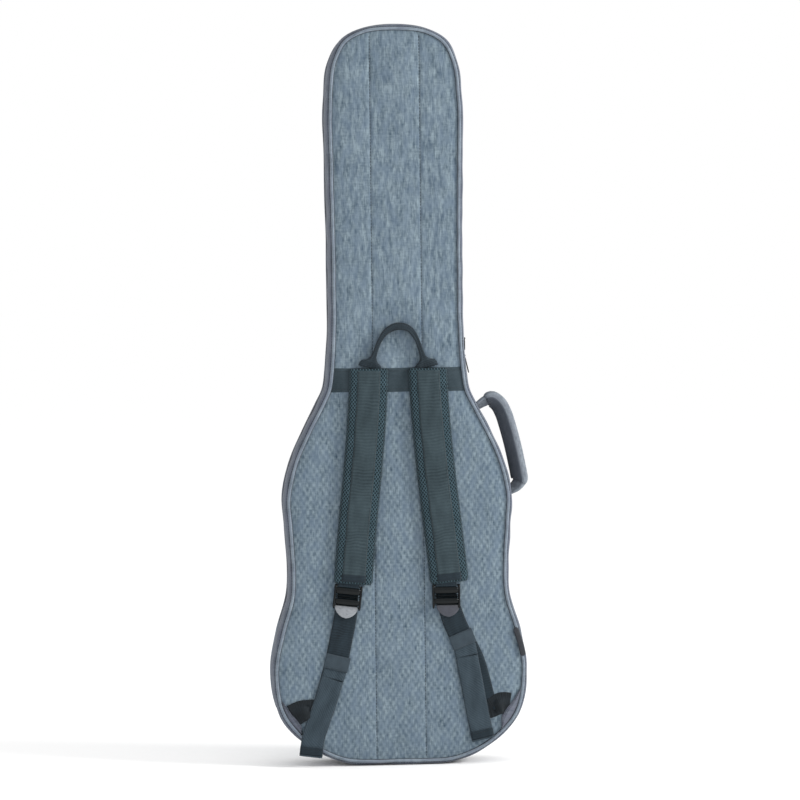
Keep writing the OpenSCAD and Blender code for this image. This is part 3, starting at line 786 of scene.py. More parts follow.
def build_haul_loop():
    """Carrying loop of webbing folded double, which flattens where it is sewn in."""
    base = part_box("haul_loop")[0].z
    points = [(-46.5, -0.2), (-46, 2), (-44, 8), (-38, 25), (-29.5, 46), (-16, 62.5), (2, 69),
              (19, 64.5), (30.5, 50), (39, 27), (45, 9), (47.5, 2), (48, -0.2)]
    line = resample(hermite_line(np.array(points) * MM, (0.1, 1), (0.1, -1), 10), 2 * MM)
    s = run_of(line)
    t = s / s[-1]
    foot = np.minimum(s, s[-1] - s)
    width = np.interp(foot, np.array([0, 3, 8, 13, 19, 30]) * MM, np.array([40, 40, 35, 17, 9, 7.4]) * MM)
    width = width + 5.4 * MM * np.exp(-((t - 0.5) / 0.16) ** 2)
    depth = np.interp(foot, np.array([0, 4, 10, 18, 30]) * MM, np.array([4.5, 6.5, 10.5, 12, 12]) * MM)
    lift = np.interp(foot, np.array([0, 5, 12, 30]) * MM, np.array([4.0, 5.0, 6.6, 7.4]) * MM)
    sections = []
    for w, d in zip(width, depth):
        ring = oval(w, d, 20, 2.6)
        fold = 0.16 * d * np.exp(-(ring[:, 0] / (0.16 * w)) ** 2) * (ring[:, 1] > 0)
        sections.append(ring - np.stack([0 * fold, fold], 1))
    path, across = flat_path(line + (0, base), 0.6 * MM + lift)
    show("Haul_Loop", ribbon(path, across, np.array(sections)), LOOP_WEB, "haul_loop",
         ["haul_loop"])
    rims = []
    for side in (-1, 1):
        keep = foot > 12 * MM
        edge = path[keep] + across[keep] * (side * (width[keep] / 2 - 1.4 * MM))[:, None]
        edge = edge - np.array([0, 1, 0]) * (depth[keep] / 2 - 0.9 * MM)[:, None]
        rims.append(stitches(edge, BACKWARDS, 3.4 * MM, 2.3 * MM, 0.3 * MM))
    show("Haul_Loop_stitches", merge(rims), THREAD, "haul_loop")


# Place in metres and tilt of each buckle.
BUCKLE_AT = {"left": ((-0.087, -0.0546, 0.299), math.radians(7)), "right": ((0.077, -0.0546, 0.298), 0.0)}
# Middle line of each pad as (x, z) in millimetres, and its direction at the lower end.
PAD_LINE = {"left": [(-49, 666), (-52, 600), (-60.5, 500), (-71, 400), (-79, 306)],
            "right": [(50, 666), (53, 600), (61.5, 500), (72.5, 400), (83, 306)]}
PAD_END = {"left": (-0.07, -1), "right": (0.1, -1)}


def pad_bow(off):
    """Height of a pad's crown at some distance off its middle line."""
    return PAD_CROWN * (1 - (off / PAD_HALF) ** 2)


def build_strap(side):
    """Shoulder pad edged with mesh, with webbing down its face and a flap at its lower end."""
    name = side.capitalize()
    body = side + "_strap"
    line = resample(hermite_line(np.array(PAD_LINE[side]) * MM, (0, -1), PAD_END[side], 14), 4 * MM)
    s = run_of(line)
    total = s[-1]
    rise = 1.5 * MM * (1 - np.exp(-s / (40 * MM))) + 1.2 * MM * np.sin(s / total * math.pi) ** 2
    path, across = flat_path(line, BACK_Y - PAD_Y + rise * 0.5)
    ends = np.minimum(np.clip(s / (7 * MM), 0, 1), np.clip((total - s) / (6 * MM), 0, 1))
    ends = 0.42 + 0.58 * np.sqrt(np.clip(1 - (1 - ends) ** 2, 0, 1))
    width = 65 * MM - 7 * MM * np.clip(1 - (total - s) / (7 * MM), 0, 1) ** 2
    sections = []
    for k, (share, w) in enumerate(zip(ends, width)):
        base = rounded_section(w, PAD_THICK, PAD_CROWN, 21)
        base[:, 1] = (base[:, 1] - PAD_THICK / 2) * share + PAD_THICK / 2 * (0.5 + 0.5 * share)
        base[:, 1] += 0.35 * MM * waves(base[:, 0], np.full(len(base), s[k]), 61, 0.05)
        sections.append(base)
    pad = show(name + "_Strap_Pad", ribbon(path, across, np.array(sections)), MESH, body,
               [body + "_pad"])

    inset = slice(1, len(path) - 2)
    web_path = path[inset].copy()
    web_s = s[inset]
    near = np.clip((total - web_s) / (9 * MM), 0, 1)
    height = PAD_THICK * (0.5 * (1 + ends[inset])) * (0.86 + 0.14 * near)
    web = rounded_section(38.4 * MM, 1.5 * MM, 0, 17)
    bow = pad_bow(web[:, 0])
    section = web + np.stack([0 * bow, bow - 0.4 * MM], 1)
    strips = np.repeat(section[None], len(web_path), 0)
    strips[..., 1] += height[:, None]
    for k, at in enumerate(web_s):
        strips[k, :, 1] += 0.30 * MM * waves(strips[k, :, 0], np.full(len(section), at), 71, 0.02)
    show(name + "_Strap_Webbing", ribbon(web_path, across[inset], strips), PAD_WEB, body,
         [body + "_webbing"])

    runs = []
    for offset in (-17.2 * MM, 17.2 * MM, -30.2 * MM, 30.2 * MM):
        lift = height + pad_bow(offset) + 0.95 * MM
        if abs(offset) > 20 * MM:
            lift = height * 0.93 + pad_bow(offset) - 0.2 * MM
        seam = web_path + across[inset] * offset - np.array([0, 1, 0]) * lift[:, None]
        runs.append(stitches(seam[:-3], BACKWARDS, 3.8 * MM, 2.6 * MM, 0.34 * MM))
    show(name + "_Strap_stitches", merge(runs), THREAD, body)

    flap_rows = slice(len(path) - 5, len(path) - 1)
    flap_path = path[flap_rows]
    wide = rounded_section(40.5 * MM, 2.0 * MM, 0, 15)
    bow = pad_bow(wide[:, 0])
    flap = np.repeat((wide + np.stack([0 * bow, bow], 1))[None], len(flap_path), 0)
    flap[..., 1] += (PAD_THICK * (0.5 * (1 + ends[flap_rows])) * 0.97)[:, None]
    # The flap takes the darkened webbing colour: painted shade under the pad's end.
    show(name + "_Strap_Flap", ribbon(flap_path, across[flap_rows], flap), WEB_PAINTED_SHADE, body)


# ---------------------------------------------------------------- buckles
def placed(parts, origin, tilt):
    """Parts made about a buckle's pivot (x across, y outwards, z up), turned by tilt and put in place."""
    points, faces, uvs = parts
    c, s = math.cos(tilt), math.sin(tilt)
    x, y, z = points[:, 0], points[:, 1], points[:, 2]
    moved = np.stack([x * c + z * s + origin[0], origin[1] - y, z * c - x * s + origin[2]], 1)
    return moved, faces, uvs


def bar(y, z, half, width, depth, power=2.2, sag=0.0):
    """Crossbar of a buckle, oval in section, drawn in at its two ends."""
    rings = []
    for u in np.linspace(-1, 1, 17):
        pinch = 1 - 0.22 * abs(u) ** 6
        ring = oval(depth * pinch, width * pinch, 18, power)
        rings.append([(u * half, y + p[0] + sag * (1 - u * u), z + p[1]) for p in ring])
    return loft(rings)


# Height, width, depth and distance out of a buckle rail at each station, in millimetres.
RAIL = [(5.8, 1.6, 2.0, 0.2), (5.2, 3.6, 3.8, 0.2), (2, 4.4, 5.6, 0.5), (-8, 4.0, 7.0, 1.4),
        (-18, 3.8, 7.6, 2.0), (-27, 4.2, 7.2, 2.6), (-32, 3.8, 5.4, 3.2), (-35, 1.8, 2.0, 3.4)]


def build_buckle(side):
    """Ladder-lock buckle: curved side rails, two broad bars with a bright lip between, and a thumb tab."""
    name = side.capitalize() + "_Buckle"
    origin, tilt = BUCKLE_AT[side]
    rails = []
    for sign in (-1, 1):
        rings = []
        for z, wide, deep, out in RAIL:
            ring = oval(wide * MM, deep * MM, 16, 2.6)
            rings.append([(sign * 21.6 * MM + p[0], out * MM + p[1], z * MM) for p in ring])
        rails.append(loft(rings))
    bars = [
        bar(0.8 * MM, 4.0 * MM, 20.6 * MM, 2.6 * MM, 4.0 * MM),
        bar(1.6 * MM, -4.4 * MM, 20.6 * MM, 12.0 * MM, 5.6 * MM, 2.8, 0.7 * MM),
        bar(2.6 * MM, -12.6 * MM, 20.6 * MM, 1.7 * MM, 5.4 * MM, 2.0, 0.7 * MM),
        bar(2.2 * MM, -15.4 * MM, 20.6 * MM, 1.4 * MM, 4.8 * MM, 2.0, 0.7 * MM),
        bar(2.8 * MM, -22.6 * MM, 20.6 * MM, 10.5 * MM, 6.2 * MM, 2.8, 0.8 * MM),
        bar(4.6 * MM, -28.6 * MM, 21.4 * MM, 1.8 * MM, 3.4 * MM, 2.0, 0.5 * MM),
    ]
    body = side + "_buckle"
    show(name, placed(merge(rails + bars), origin, tilt), BUCKLE, body, [body])
    rows = []
    for v in np.linspace(0, 1, 17):
        half = 19.8 * MM * (1 - v**2.0) ** 0.62 + 0.3 * MM
        z = (-28.6 - 21.0 * v) * MM
        out = (3.4 + 2.4 * v * v - 0.6 * v) * MM
        ring = oval(2 * half, 2.2 * MM * (1 - 0.35 * v), 26, 2.4)
        rows.append([(p[0], out + p[1] - 1.3 * MM * (p[0] / (20 * MM)) ** 2, z) for p in ring])
    shift = np.array([0.0, 0, 0]) if side == "left" else np.array([3.0 * MM, 0, 0.6 * MM])
    points, faces, uvs = loft(rows)
    # The left tab gets the light grey of its painted reflection; the right one is plain dark.
    tab = TAB_PAINTED_REFLECTION if side == "left" else DARK_TAB
    show(name + "_Tab", placed((points + shift, faces, uvs), origin, tilt), tab, body)

    fold = []
    for u in np.linspace(-1, 1, 17):
        fold.append([(u * 17.6 * MM, 0.2 * MM + p[0], 3.8 * MM + p[1])
                     for p in oval(6.6 * MM, 6.2 * MM, 16, 2.2)])
    neck = []
    for z in (4.0, 6.5, 9.0, 12.0):
        neck.append([(p[0], 0.2 * MM + p[1], z * MM) for p in oval(35.6 * MM, 4.6 * MM, 20, 6.0)])
    # The fold round the bar takes the darkened webbing colour: painted shade under the pad and buckle.
    show(side.capitalize() + "_Strap_End", placed(merge([loft(fold), loft(neck)]), origin, tilt), WEB_PAINTED_SHADE,
         side + "_strap", [side + "_strap_end"])


# ---------------------------------------------------------------- webbing below the buckles
# Middle lines of the webbing on the back, as (x, z) in millimetres.
LOAD_LINE = {"left": [(-133, 92), (-129, 105), (-120, 134), (-113, 158), (-106, 186), (-98, 224),
                      (-92, 256), (-90, 272), (-87.5, 292)],
             "right": [(143, 88), (140, 104), (131, 142), (121, 176), (107, 205), (93, 234),
                       (85, 256), (80, 273), (77, 291)]}
FAN_LINE = {"left": [(-131, 101), (-140, 97.5), (-153, 96.5), (-167, 94.5), (-183, 86.5)],
            "right": [(139, 94), (147, 92), (157, 96.5), (169, 101), (183, 99)]}
TAIL_LINE = {"left": [(-115.3, 147.3), (-118, 140), (-127, 112), (-139, 78), (-149, 47), (-153, 20)],
             "right": [(111.1, 181.2), (112.5, 172), (118, 143), (126, 98), (133, 62), (137, 43)]}
ROOT_LINE = {"left": [(-107.5, 174), (-111, 162), (-115, 148)],
             "right": [(104.5, 208), (108, 197), (111, 182)]}
KEEPER_LINE = {"left": [(-110.5, 162.5), (-104.2, 186.5)],
               "right": [(108.5, 198.8), (99.5, 221.5)]}


def build_load_webbing(side):
    """Webbing from under the tail to the buckle, with the returning layer doubled over its upper part."""
    line = soft_line(LOAD_LINE[side], 3.5 * MM)
    s = run_of(line)
    total = s[-1]
    rise = {"left": 82, "right": 54}[side] * MM
    climb = 4.6 * MM * np.clip((s - total + rise) / (rise - 20 * MM), 0, 1) ** 1.3
    path, across = flat_path(line, 1.7 * MM + climb)
    web = rounded_section(WEBBING_W, 1.5 * MM, 0, 15)
    sections = np.repeat(web[None], len(s), 0)
    sections[..., 0] *= (1 - 0.10 * np.clip((s - total + 34 * MM) / (20 * MM), 0, 1))[:, None]
    share = sections[..., 0] / (WEBBING_W / 2)
    sections[..., 1] += 0.35 * MM * share * np.sin(s / (19 * MM))[:, None]
    lower = ribbon(path, across, sections)
    rows = (line[:, 1] > np.mean(KEEPER_LINE[side], 0)[1] * MM) & (s < total - 16 * MM)
    ridge = 3.2 * MM * np.exp(-((s - total + rise - 24 * MM) / (4.5 * MM)) ** 2)
    doubled = sections[rows].copy()
    doubled[..., 1] += (1.7 * MM + 0.5 * ridge[rows])[:, None]
    upper = ribbon(path[rows], across[rows], doubled)
    # Its near-black colour is painted shade of webbing that tilts away from the light under the buckle.
    obj = make_object(side.capitalize() + "_Load_Webbing", *merge([lower, upper]), WEB_PAINTED_SHADE)
    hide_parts(side + "_load_webbing")
    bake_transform(obj)
    build_fan(side)


def build_fan(side):
    """Lower end of the webbing, which turns outwards in an arch and runs in under the corner patch."""
    line = soft_line(FAN_LINE[side], 2 * MM)
    s = run_of(line) / run_of(line)[-1]
    path, across = flat_path(line, 1.2 * MM + 1.0 * MM * np.sin(s * math.pi))
    if side == "right":
        across = -across
    hump = np.exp(-((s - 0.60) / 0.20) ** 2)
    web = rounded_section(WEBBING_W, 1.3 * MM, 0, 23)
    sections = np.repeat(web[None], len(s), 0)
    u = sections[..., 0] / (WEBBING_W / 2)
    sections[..., 0] *= (0.82 + 0.20 * s)[:, None]
    lift = 6.2 * MM * hump[:, None] * (0.5 - 0.5 * np.tanh((np.abs(u - 0.25) - 0.62) / 0.16))
    crease = 3.0 * MM * np.exp(-((s[:, None] - 0.42 + 0.16 * u) / 0.07) ** 2)
    outward = np.cross(directions(path), across)[:, 1]
    sections[..., 1] = (sections[..., 1] + lift - crease * (lift > 1 * MM)) * -np.sign(outward)[:, None]
    # Its near-black colour is partly painted shade inside the folded arch.
    show(side.capitalize() + "_Anchor_Webbing", ribbon(path, across, sections), FAN_WEB_PAINTED_SHADE, "shell")


def build_keeper(side):
    """Elastic sleeve round the doubled webbing."""
    low, high = np.array(KEEPER_LINE[side]) * MM
    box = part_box(side + "_keeper")
    way = unit(high - low)
    wide = np.array([way[1], 0, -way[0]])
    rings = []
    for t in np.linspace(0, 1, 7):
        swell = 0.25 * MM * math.sin(math.pi * t)
        centre = low + (high - low) * t
        y = (box[0].y + box[1].y) / 2
        ring = oval(41.2 * MM + swell, box[1].y - box[0].y - 0.6 * MM + swell, 28, 7.0)
        middle = np.array([centre[0], y, centre[1]])
        rings.append([middle + wide * p[0] + np.array([0, p[1], 0]) for p in ring])
    body = side + "_keeper"
    show(side.capitalize() + "_Keeper", loft(rings), ELASTIC, body, [body])


def build_tail(side):
    """Loose end of the webbing, folded over and sewn at its tip."""
    body = side + "_tail"
    line = soft_line(TAIL_LINE[side], 3.5 * MM)
    s = run_of(line)
    total = s[-1]
    path, across = flat_path(line, 4.1 * MM + 0.5 * MM * np.sin(s / total * math.pi))
    web = rounded_section(WEBBING_W, 1.5 * MM, 0, 17)
    sections = np.repeat(web[None], len(s), 0)
    loose = np.clip(s / (20 * MM), 0, 1)
    twist = 0.6 * MM * loose * np.sin(s / (24 * MM) + 0.5)
    sections[..., 1] += twist[:, None] * sections[..., 0] / (19 * MM)
    sections[..., 1] += (0.3 * MM * loose * np.sin(s / (11 * MM)))[:, None]
    show(side.capitalize() + "_Tail", ribbon(path, across, sections), TAIL_WEB, body, [body])
    root = soft_line(ROOT_LINE[side], 3 * MM, 8)
    root_path, root_across = flat_path(root, np.linspace(3.6, 4.1, len(root)) * MM)
    show(side.capitalize() + "_Tail_Root", ribbon(root_path, root_across, web), TAIL_WEB, "shell")
    stop = s > total - 17 * MM
    hem = rounded_section(WEBBING_W + 0.8 * MM, 3.6 * MM, 0.4 * MM, 17)
    hems = np.repeat(hem[None], int(stop.sum()), 0)
    hems[..., 1] -= 0.5 * MM
    # The folded stop takes the darkened webbing colour as painted shade of the fold; its lip keeps the tail's
    # colour.
    show(side.capitalize() + "_Tail_Stop", ribbon(path[stop], across[stop], hems), WEB_PAINTED_SHADE, body)
    lip = rounded_section(WEBBING_W + 0.4 * MM, 3.9 * MM, 0.3 * MM, 15)
    end = path[-1] + unit(path[-1] - path[-2]) * np.array([[0.0], [2.4 * MM]])
    show(side.capitalize() + "_Tail_Lip", ribbon(end, across[-2:], lip - (0, 0.5 * MM)), TAIL_WEB, body)
    row = path[stop][1] + across[stop][1] * np.linspace(-17, 17, 18)[:, None] * MM - (0, 3.7 * MM, 0)
    show(side.capitalize() + "_Tail_stitches", stitches(row, BACKWARDS, 3.4 * MM, 2.4 * MM, 0.32 * MM),
         THREAD, body)


def build_corner_patch(side):
    """Patch over the anchor of the webbing, hemmed with two rows of stitches."""
    sign = -1 if side == "left" else 1
    hem = np.array([(198.5, 110), (187.5, 94), (171.5, 75), (167.5, 67), (167.5, 57), (163, 45)])
    if side == "right":
        hem = hem + np.array([(2, 13), (2, 12), (0, 9), (1, 8), (2, 6), (4, 7)])
    hem = soft_line(hem, 3 * MM, 8)
    edge = inset_right(SEAM_INSET + 0.3 * MM)
    zs = np.linspace(hem[0, 1] + 1 * MM, hem[-1, 1] - 1 * MM, len(hem))
    outer = np.stack([np.interp(zs, edge[:, 1], edge[:, 0]), zs], 1)
    share = np.linspace(0, 1, 13)[:, None, None]
    flat = hem[None] * (1 - share) + outer[None] * share
    flat[..., 0] *= sign
    lift = np.interp(np.linspace(0, 1, 13), [0, 0.05, 0.4, 0.9, 1], [0.4, 3.6, 4.2, 2.2, 0.3]) * MM
    y = surface_y(flat[..., 0], flat[..., 1]) - lift[:, None]
    y = y + 0.25 * MM * waves(flat[..., 0], flat[..., 1], 77, 0.03)
    points = np.stack([flat[..., 0], y, flat[..., 1]], -1)
    name = side.capitalize() + "_Corner_Patch"
    show(name, grid(points, run_of(points[:, 4]), run_of(points[4])), PATCH_FABRIC, "shell",
         [side + "_corner_patch"])
    rows = [stitches(points[k] - (0, 0.2 * MM, 0), BACKWARDS, 3.2 * MM, 2.2 * MM, 0.32 * MM)
            for k in (2, 4)]
    show(name + "_stitches", merge(rows), THREAD, "shell")


# ---------------------------------------------------------------- side handle and label
# Middle line of the handle as (x, z) in millimetres.
HANDLE_LINE = [(138, 600), (149, 607), (161, 612), (172.5, 604.5), (182, 588), (188.5, 568), (194, 548),
               (199.5, 525), (204, 503), (207.2, 486), (208.5, 473), (202, 464), (190.5, 457)]
HANDLE_Y = -8 * MM
GRIP_TURN = math.radians(36)


def handle_frame(line):
    """Width directions of the grip along its line, turned so that its inner face looks a little backwards."""
    return math.cos(GRIP_TURN) * np.array([0, 1, 0]) - math.sin(GRIP_TURN) * sideways(directions(line))


def build_handle():
    """Padded grip with a plain inner face, and the two webs that sew it to the side."""
    line = soft_line(HANDLE_LINE, 2.5 * MM, 10)
    s = run_of(line)
    total = s[-1]
    path = np.stack([line[:, 0], np.full(len(s), HANDLE_Y), line[:, 1]], 1)
    across = handle_frame(line)
    near = np.minimum(s - 17 * MM, total - 22 * MM - s)
    round_off = np.sqrt(np.clip(1 - (1 - np.clip(near / (11 * MM), 0, 1)) ** 2, 0, 1))
    grip = near > -0.1 * MM
    fat = 0.45 + 0.55 * round_off
    sections = np.array([oval((23 + 10 * f) * MM, 17.0 * f * MM, 28, 3.0) for f in fat[grip]])
    obj = show("Side_Handle_Grip", ribbon(path[grip], across[grip], sections), HANDLE_FABRIC, "side_handle",
               ["side_handle_grip"])
    pad = np.array([oval((16 + 12 * f) * MM, 4.4 * f * MM, 24, 2.8) - (0, 7.0 * f * MM) for f in fat[grip]])
    show("Side_Handle_Inner", ribbon(path[grip], across[grip], pad), HANDLE_FACE, "side_handle")
    seam = path[grip] - across[grip] * (13.9 * MM * fat[grip])[:, None]
    inward = np.cross(directions(path)[grip], across[grip])
    seam = seam - inward * (5.0 * MM * fat[grip])[:, None]
    run = stitches(seam[3:-3], -across[grip][3:-3], 3.4 * MM, 2.3 * MM, 0.32 * MM)
    show("Side_Handle_stitches", run, THREAD, "side_handle")
    webs = []
    for rows, turn in ((s < 24 * MM, 1), (s > total - 30 * MM, -1)):
        reach = (s[rows] if turn > 0 else total - s[rows]) / (26 * MM)
        shape = [oval((22 + 7 * min(r, 1)) * MM, (5.0 + 4.6 * min(r, 1)) * MM, 20, 4.0) for r in reach]
        webs.append(ribbon(path[rows], across[rows], np.array(shape)))
    upper, lower = webs
    for name, parts, material, at, to, extra in (
        ("Side_Handle_Upper_End", upper, HANDLE_FABRIC, 0, 20 * MM, ["side_handle_ends"]),
        ("Side_Handle_Lower_End", lower, HANDLE_FABRIC, total, total - 24 * MM, []),
    ):
        end = make_object(name, *parts, material)
        if extra:
            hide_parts(*extra)
        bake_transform(end)


def build_label():
    """Blank label sewn into the seam low on the right side."""
    line = resample(np.array([(207, 180), (193.5, 228)]) * MM, 1.2 * MM)
    line = line + np.stack([1.2 * MM * np.sin(np.linspace(0, math.pi, len(line))), np.zeros(len(line))], 1)
    s = run_of(line)
    path, across = flat_path(line, 2.3 * MM)
    end = np.sqrt(np.clip(1 - (1 - np.minimum(s, s[-1] - s) / (4.0 * MM)).clip(0, 1) ** 2, 0.04, 1))
    sections = np.array([rounded_section(9.4 * MM * e, 1.6 * MM, 0.6 * MM, 13) for e in end])
    show("Side_Label", ribbon(path, across, sections), LABEL, "shell", ["side_label"])


# ---------------------------------------------------------------- pockets on the lid
# Inset from the outline, lower and upper edge, height of the zip and half its length.
POCKETS = {"lower": (30 * MM, 0.060, 0.470, 0.440, 140 * MM),
           "neck": (26 * MM, 0.700, 1.080, 1.054, 66 * MM)}
POCKET_ROLL = 17 * MM


def tube(path, radius, sides=10):
    """Round cord along a closed 3-D line that lies nearly flat across Y."""
    d = np.roll(path, -1, 0) - np.roll(path, 1, 0)
    side = unit(sideways(d[:, [0, 2]]))
    a = np.arange(sides) * 2 * math.pi / sides
    up = np.array([0, 1, 0])
    points = (path[:, None] + side[:, None] * (radius * np.cos(a))[None, :, None]
              + up * (radius * np.sin(a))[None, :, None])
    s = run_of(ringed(path))
    return grid(points, s, np.arange(sides + 1) * radius * 0.6, close_s=True, close_t=True)


def pocket_edge(inset, low, high, radius):
    """Closed outline of a pocket at one inset, with rounded corners, as (x, z)."""
    edge = inset_right(inset)
    zs = np.linspace(low, high, 80)
    right = np.stack([np.interp(zs, edge[:, 1], edge[:, 0]), zs], 1)
    ring = np.concatenate([right, right[::-1] * (-1, 1)])
    ring = resample(ringed(ring), 3 * MM)[:-1]
    soft = ring.copy()
    reach = max(1, int(radius / (3 * MM)))
    for _ in range(3):
        soft = sum(np.roll(soft, k, 0) for k in range(-reach, reach + 1)) / (2 * reach + 1)
    return soft


def rounding(share):
    """Height of a pocket's rolled edge, 0 to 1, at a share of the way in from its rim."""
    return (1 - (1 - share) ** 2.3) ** (1 / 2.3)


def build_pocket(which):
    """Padded pocket: a swelling front with piped edges, and a zip with hems above and below."""
    inset, low, high, zip_z, half = POCKETS[which]
    name = which.capitalize() + "_Pocket"
    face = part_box(which + "_pocket_panel")[1].y
    x, z, edge = panel_points(inset, low, high, seams=False)
    corner = pocket_edge(inset, low, high, 12 * MM)
    edge = np.minimum(edge, gap_to(x, z, corner))
    rise = rounding(np.clip(edge / POCKET_ROLL, 0, 1))
    foot, depth = FRONT_Y + 0.6 * MM, face - FRONT_Y - 1.4 * MM
    y = foot + depth * rise + 0.5 * MM * rise * waves(x, z, 91, 0.12)
    near_zip = np.exp(-((z - zip_z) / (9 * MM)) ** 2) * (np.abs(x) < half + 6 * MM)
    y = y - 0.7 * MM * near_zip
    panel = show(name, panel_mesh(x, z, y), FABRIC, "lid",
                 [which + "_pocket_panel", which + "_pocket_gusset"])
    ring = pocket_edge(inset + 7.5 * MM, low + 7.5 * MM, high - 7.5 * MM, 9 * MM)
    height = foot + depth * rounding(7.5 * MM / POCKET_ROLL)
    path = np.stack([ring[:, 0], np.full(len(ring), height + 0.4 * MM), ring[:, 1]], 1)
    show(name + "_Piping", tube(path, 2.1 * MM), PIPING, "lid")
    inner = pocket_edge(inset + 13 * MM, low + 13 * MM, high - 13 * MM, 8 * MM)
    sewn = foot + depth * rounding(13 * MM / POCKET_ROLL)
    line = np.stack([inner[:, 0], np.full(len(inner), sewn + 0.75 * MM), inner[:, 1]], 1)
    show(name + "_stitches", stitches(line, (0, 1, 0), 4.6 * MM, 3.2 * MM, 0.36 * MM), THREAD, "lid")

    base = face - 0.9 * MM
    run = np.linspace(-half, half, 41)
    strip = np.stack([run, np.full(41, base), np.full(41, zip_z)], 1)
    up = np.broadcast_to(np.array([0.0, 0.0, 1.0]), strip.shape)
    tape = ribbon(strip, up, mirrored(11 * MM, 1.6 * MM, 0, 11))
    show(name + "_Zip", tape, TAPE, "lid", [which + "_pocket_zip"])
    coils = []
    for k, at in enumerate(np.arange(-half + 4 * MM, half - 3 * MM, 1.7 * MM)):
        shift = 0.8 * MM * (1 if k % 2 else -1)
        rows = [[(at + p[0], base + 1.2 * MM + v, zip_z + shift + p[1])
                 for p in oval(1.2 * MM * w, 3.4 * MM * w, 8)]
                for v, w in ((0, 1.0), (0.5 * MM, 1.0), (0.95 * MM, 0.55))]
        coils.append(loft(rows))
    show(name + "_Zip_Coil", merge(coils), TEETH, "lid")
    hems = []
    for side in (-1, 1):
        hem = strip + (0, 0.1 * MM, side * 7.4 * MM)
        hems.append(ribbon(hem, up, mirrored(6 * MM, 1.7 * MM, 0.4 * MM, 11)))
    show(name + "_Zip_Hems", merge(hems), FABRIC, "lid")
    rows = [stitches(strip + (0, 2.1 * MM, side * 8.2 * MM), (0, 1, 0), 3.8 * MM, 2.6 * MM, 0.32 * MM)
            for side in (-1, 1)]
    show(name + "_Zip_stitches", merge(rows), THREAD, "lid")
    ends = []
    for side in (-1, 1):
        rings = [[(side * (half - 2.5 * MM) + p[0], base + 0.4 * MM + v, zip_z + p[1])
                  for p in oval(5 * MM * w, 12.5 * MM * w, 16, 5)]
                 for v, w in ((0, 1), (1.6 * MM, 1), (2.0 * MM, 0.9))]
        ends.append(loft(rings))
    show(name + "_Zip_Ends", merge(ends), PATCH_FABRIC, "lid")


# ---------------------------------------------------------------- zip sliders and pulls
def set_axes(parts, origin, out, wide, along):
    """Moves parts made in local (out, wide, along) coordinates into place."""
    points, faces, uvs = parts
    return np.asarray(origin) + points @ np.array([out, wide, along], float), faces, uvs


def slider_parts(half_long, half_wide, pin_high, pin_along):
    """Slider body with a flared nose, a waist between its plates and a bridge over the pull's bar."""
    plates = []
    top = pin_high - 1.2 * MM
    for low, high, grow in ((0.2 * MM, 0.42 * top, 1.0), (0.66 * top, top, 0.96)):
        rings = []
        for level, size in ((low, 0.88), (low + 0.3 * MM, 1.0), (high - 0.3 * MM, 1.0), (high, 0.88)):
            ring = []
            for a in np.arange(24) * math.pi / 12:
                nose = 1 + 0.14 * math.sin(a)
                c, v = math.cos(a), math.sin(a)
                ring.append((level, math.copysign(abs(c) ** 0.7, c) * half_wide * 0.86 * size * grow * nose,
                             math.copysign(abs(v) ** 0.8, v) * half_long * size * grow))
            rings.append(ring)
        plates.append(loft(rings))
    waist = loft([[(v * top, p[0], p[1] + 0.2 * half_long) for p in oval(3 * MM, 5 * MM, 12, 3)]
                  for v in (0.3, 0.7)])
    arch = []
    for t in np.linspace(0, math.pi, 13):
        centre = np.array([top - 0.3 * MM + 2.7 * MM * math.sin(t), 0,
                           pin_along + 0.5 * MM - 2.2 * MM * math.cos(t)])
        arch.append([centre + np.array([math.sin(t), 0, -math.cos(t)]) * p[1] + np.array([0, 1, 0]) * p[0]
                     for p in oval(2.4 * MM, 0.9 * MM, 10)])
    return merge(plates + [waist, loft(arch)])


def pull_parts(length, lean):
    """Pull whose wire bar passes under the bridge, with a ribbed grip hanging along its third axis."""
    half = 2.4 * MM
    bend = np.array([(-half, 4.6), (-half, 0.9), (-0.8 * half, 0.1), (0, 0), (0.8 * half, 0.1), (half, 0.9),
                     (half, 4.6)])
    bend[:, 1] *= MM
    wire = resample(bend, 0.5 * MM)
    path = np.stack([math.sin(lean) * wire[:, 1], wire[:, 0], math.cos(lean) * wire[:, 1]], 1)
    bar_out = np.broadcast_to(np.array([math.cos(lean), 0.0, -math.sin(lean)]), path.shape)
    rings = []
    for t in np.linspace(0, 1, 25):
        along = 3.8 * MM + (length - 3.8 * MM) * t
        end = math.sqrt(max(1 - max(0, (t - 0.86) / 0.14) ** 2, 0.05)) * math.sqrt(min(1, 0.5 + t / 0.10))
        ribs = 0.14 * math.sin(t * 60) * (0.3 < t < 0.9)
        wide = (6.4 + 1.8 * math.sin(t * math.pi * 0.9)) * MM * end
        deep = (1.9 + ribs) * MM * (0.7 + 0.3 * end)
        away = math.sin(lean) * along
        rings.append([(away + p[1], p[0], along * math.cos(lean)) for p in oval(wide, deep, 18, 3)])
    return merge([ribbon(path, bar_out, oval(1.0 * MM, 1.0 * MM, 8)), loft(rings)])


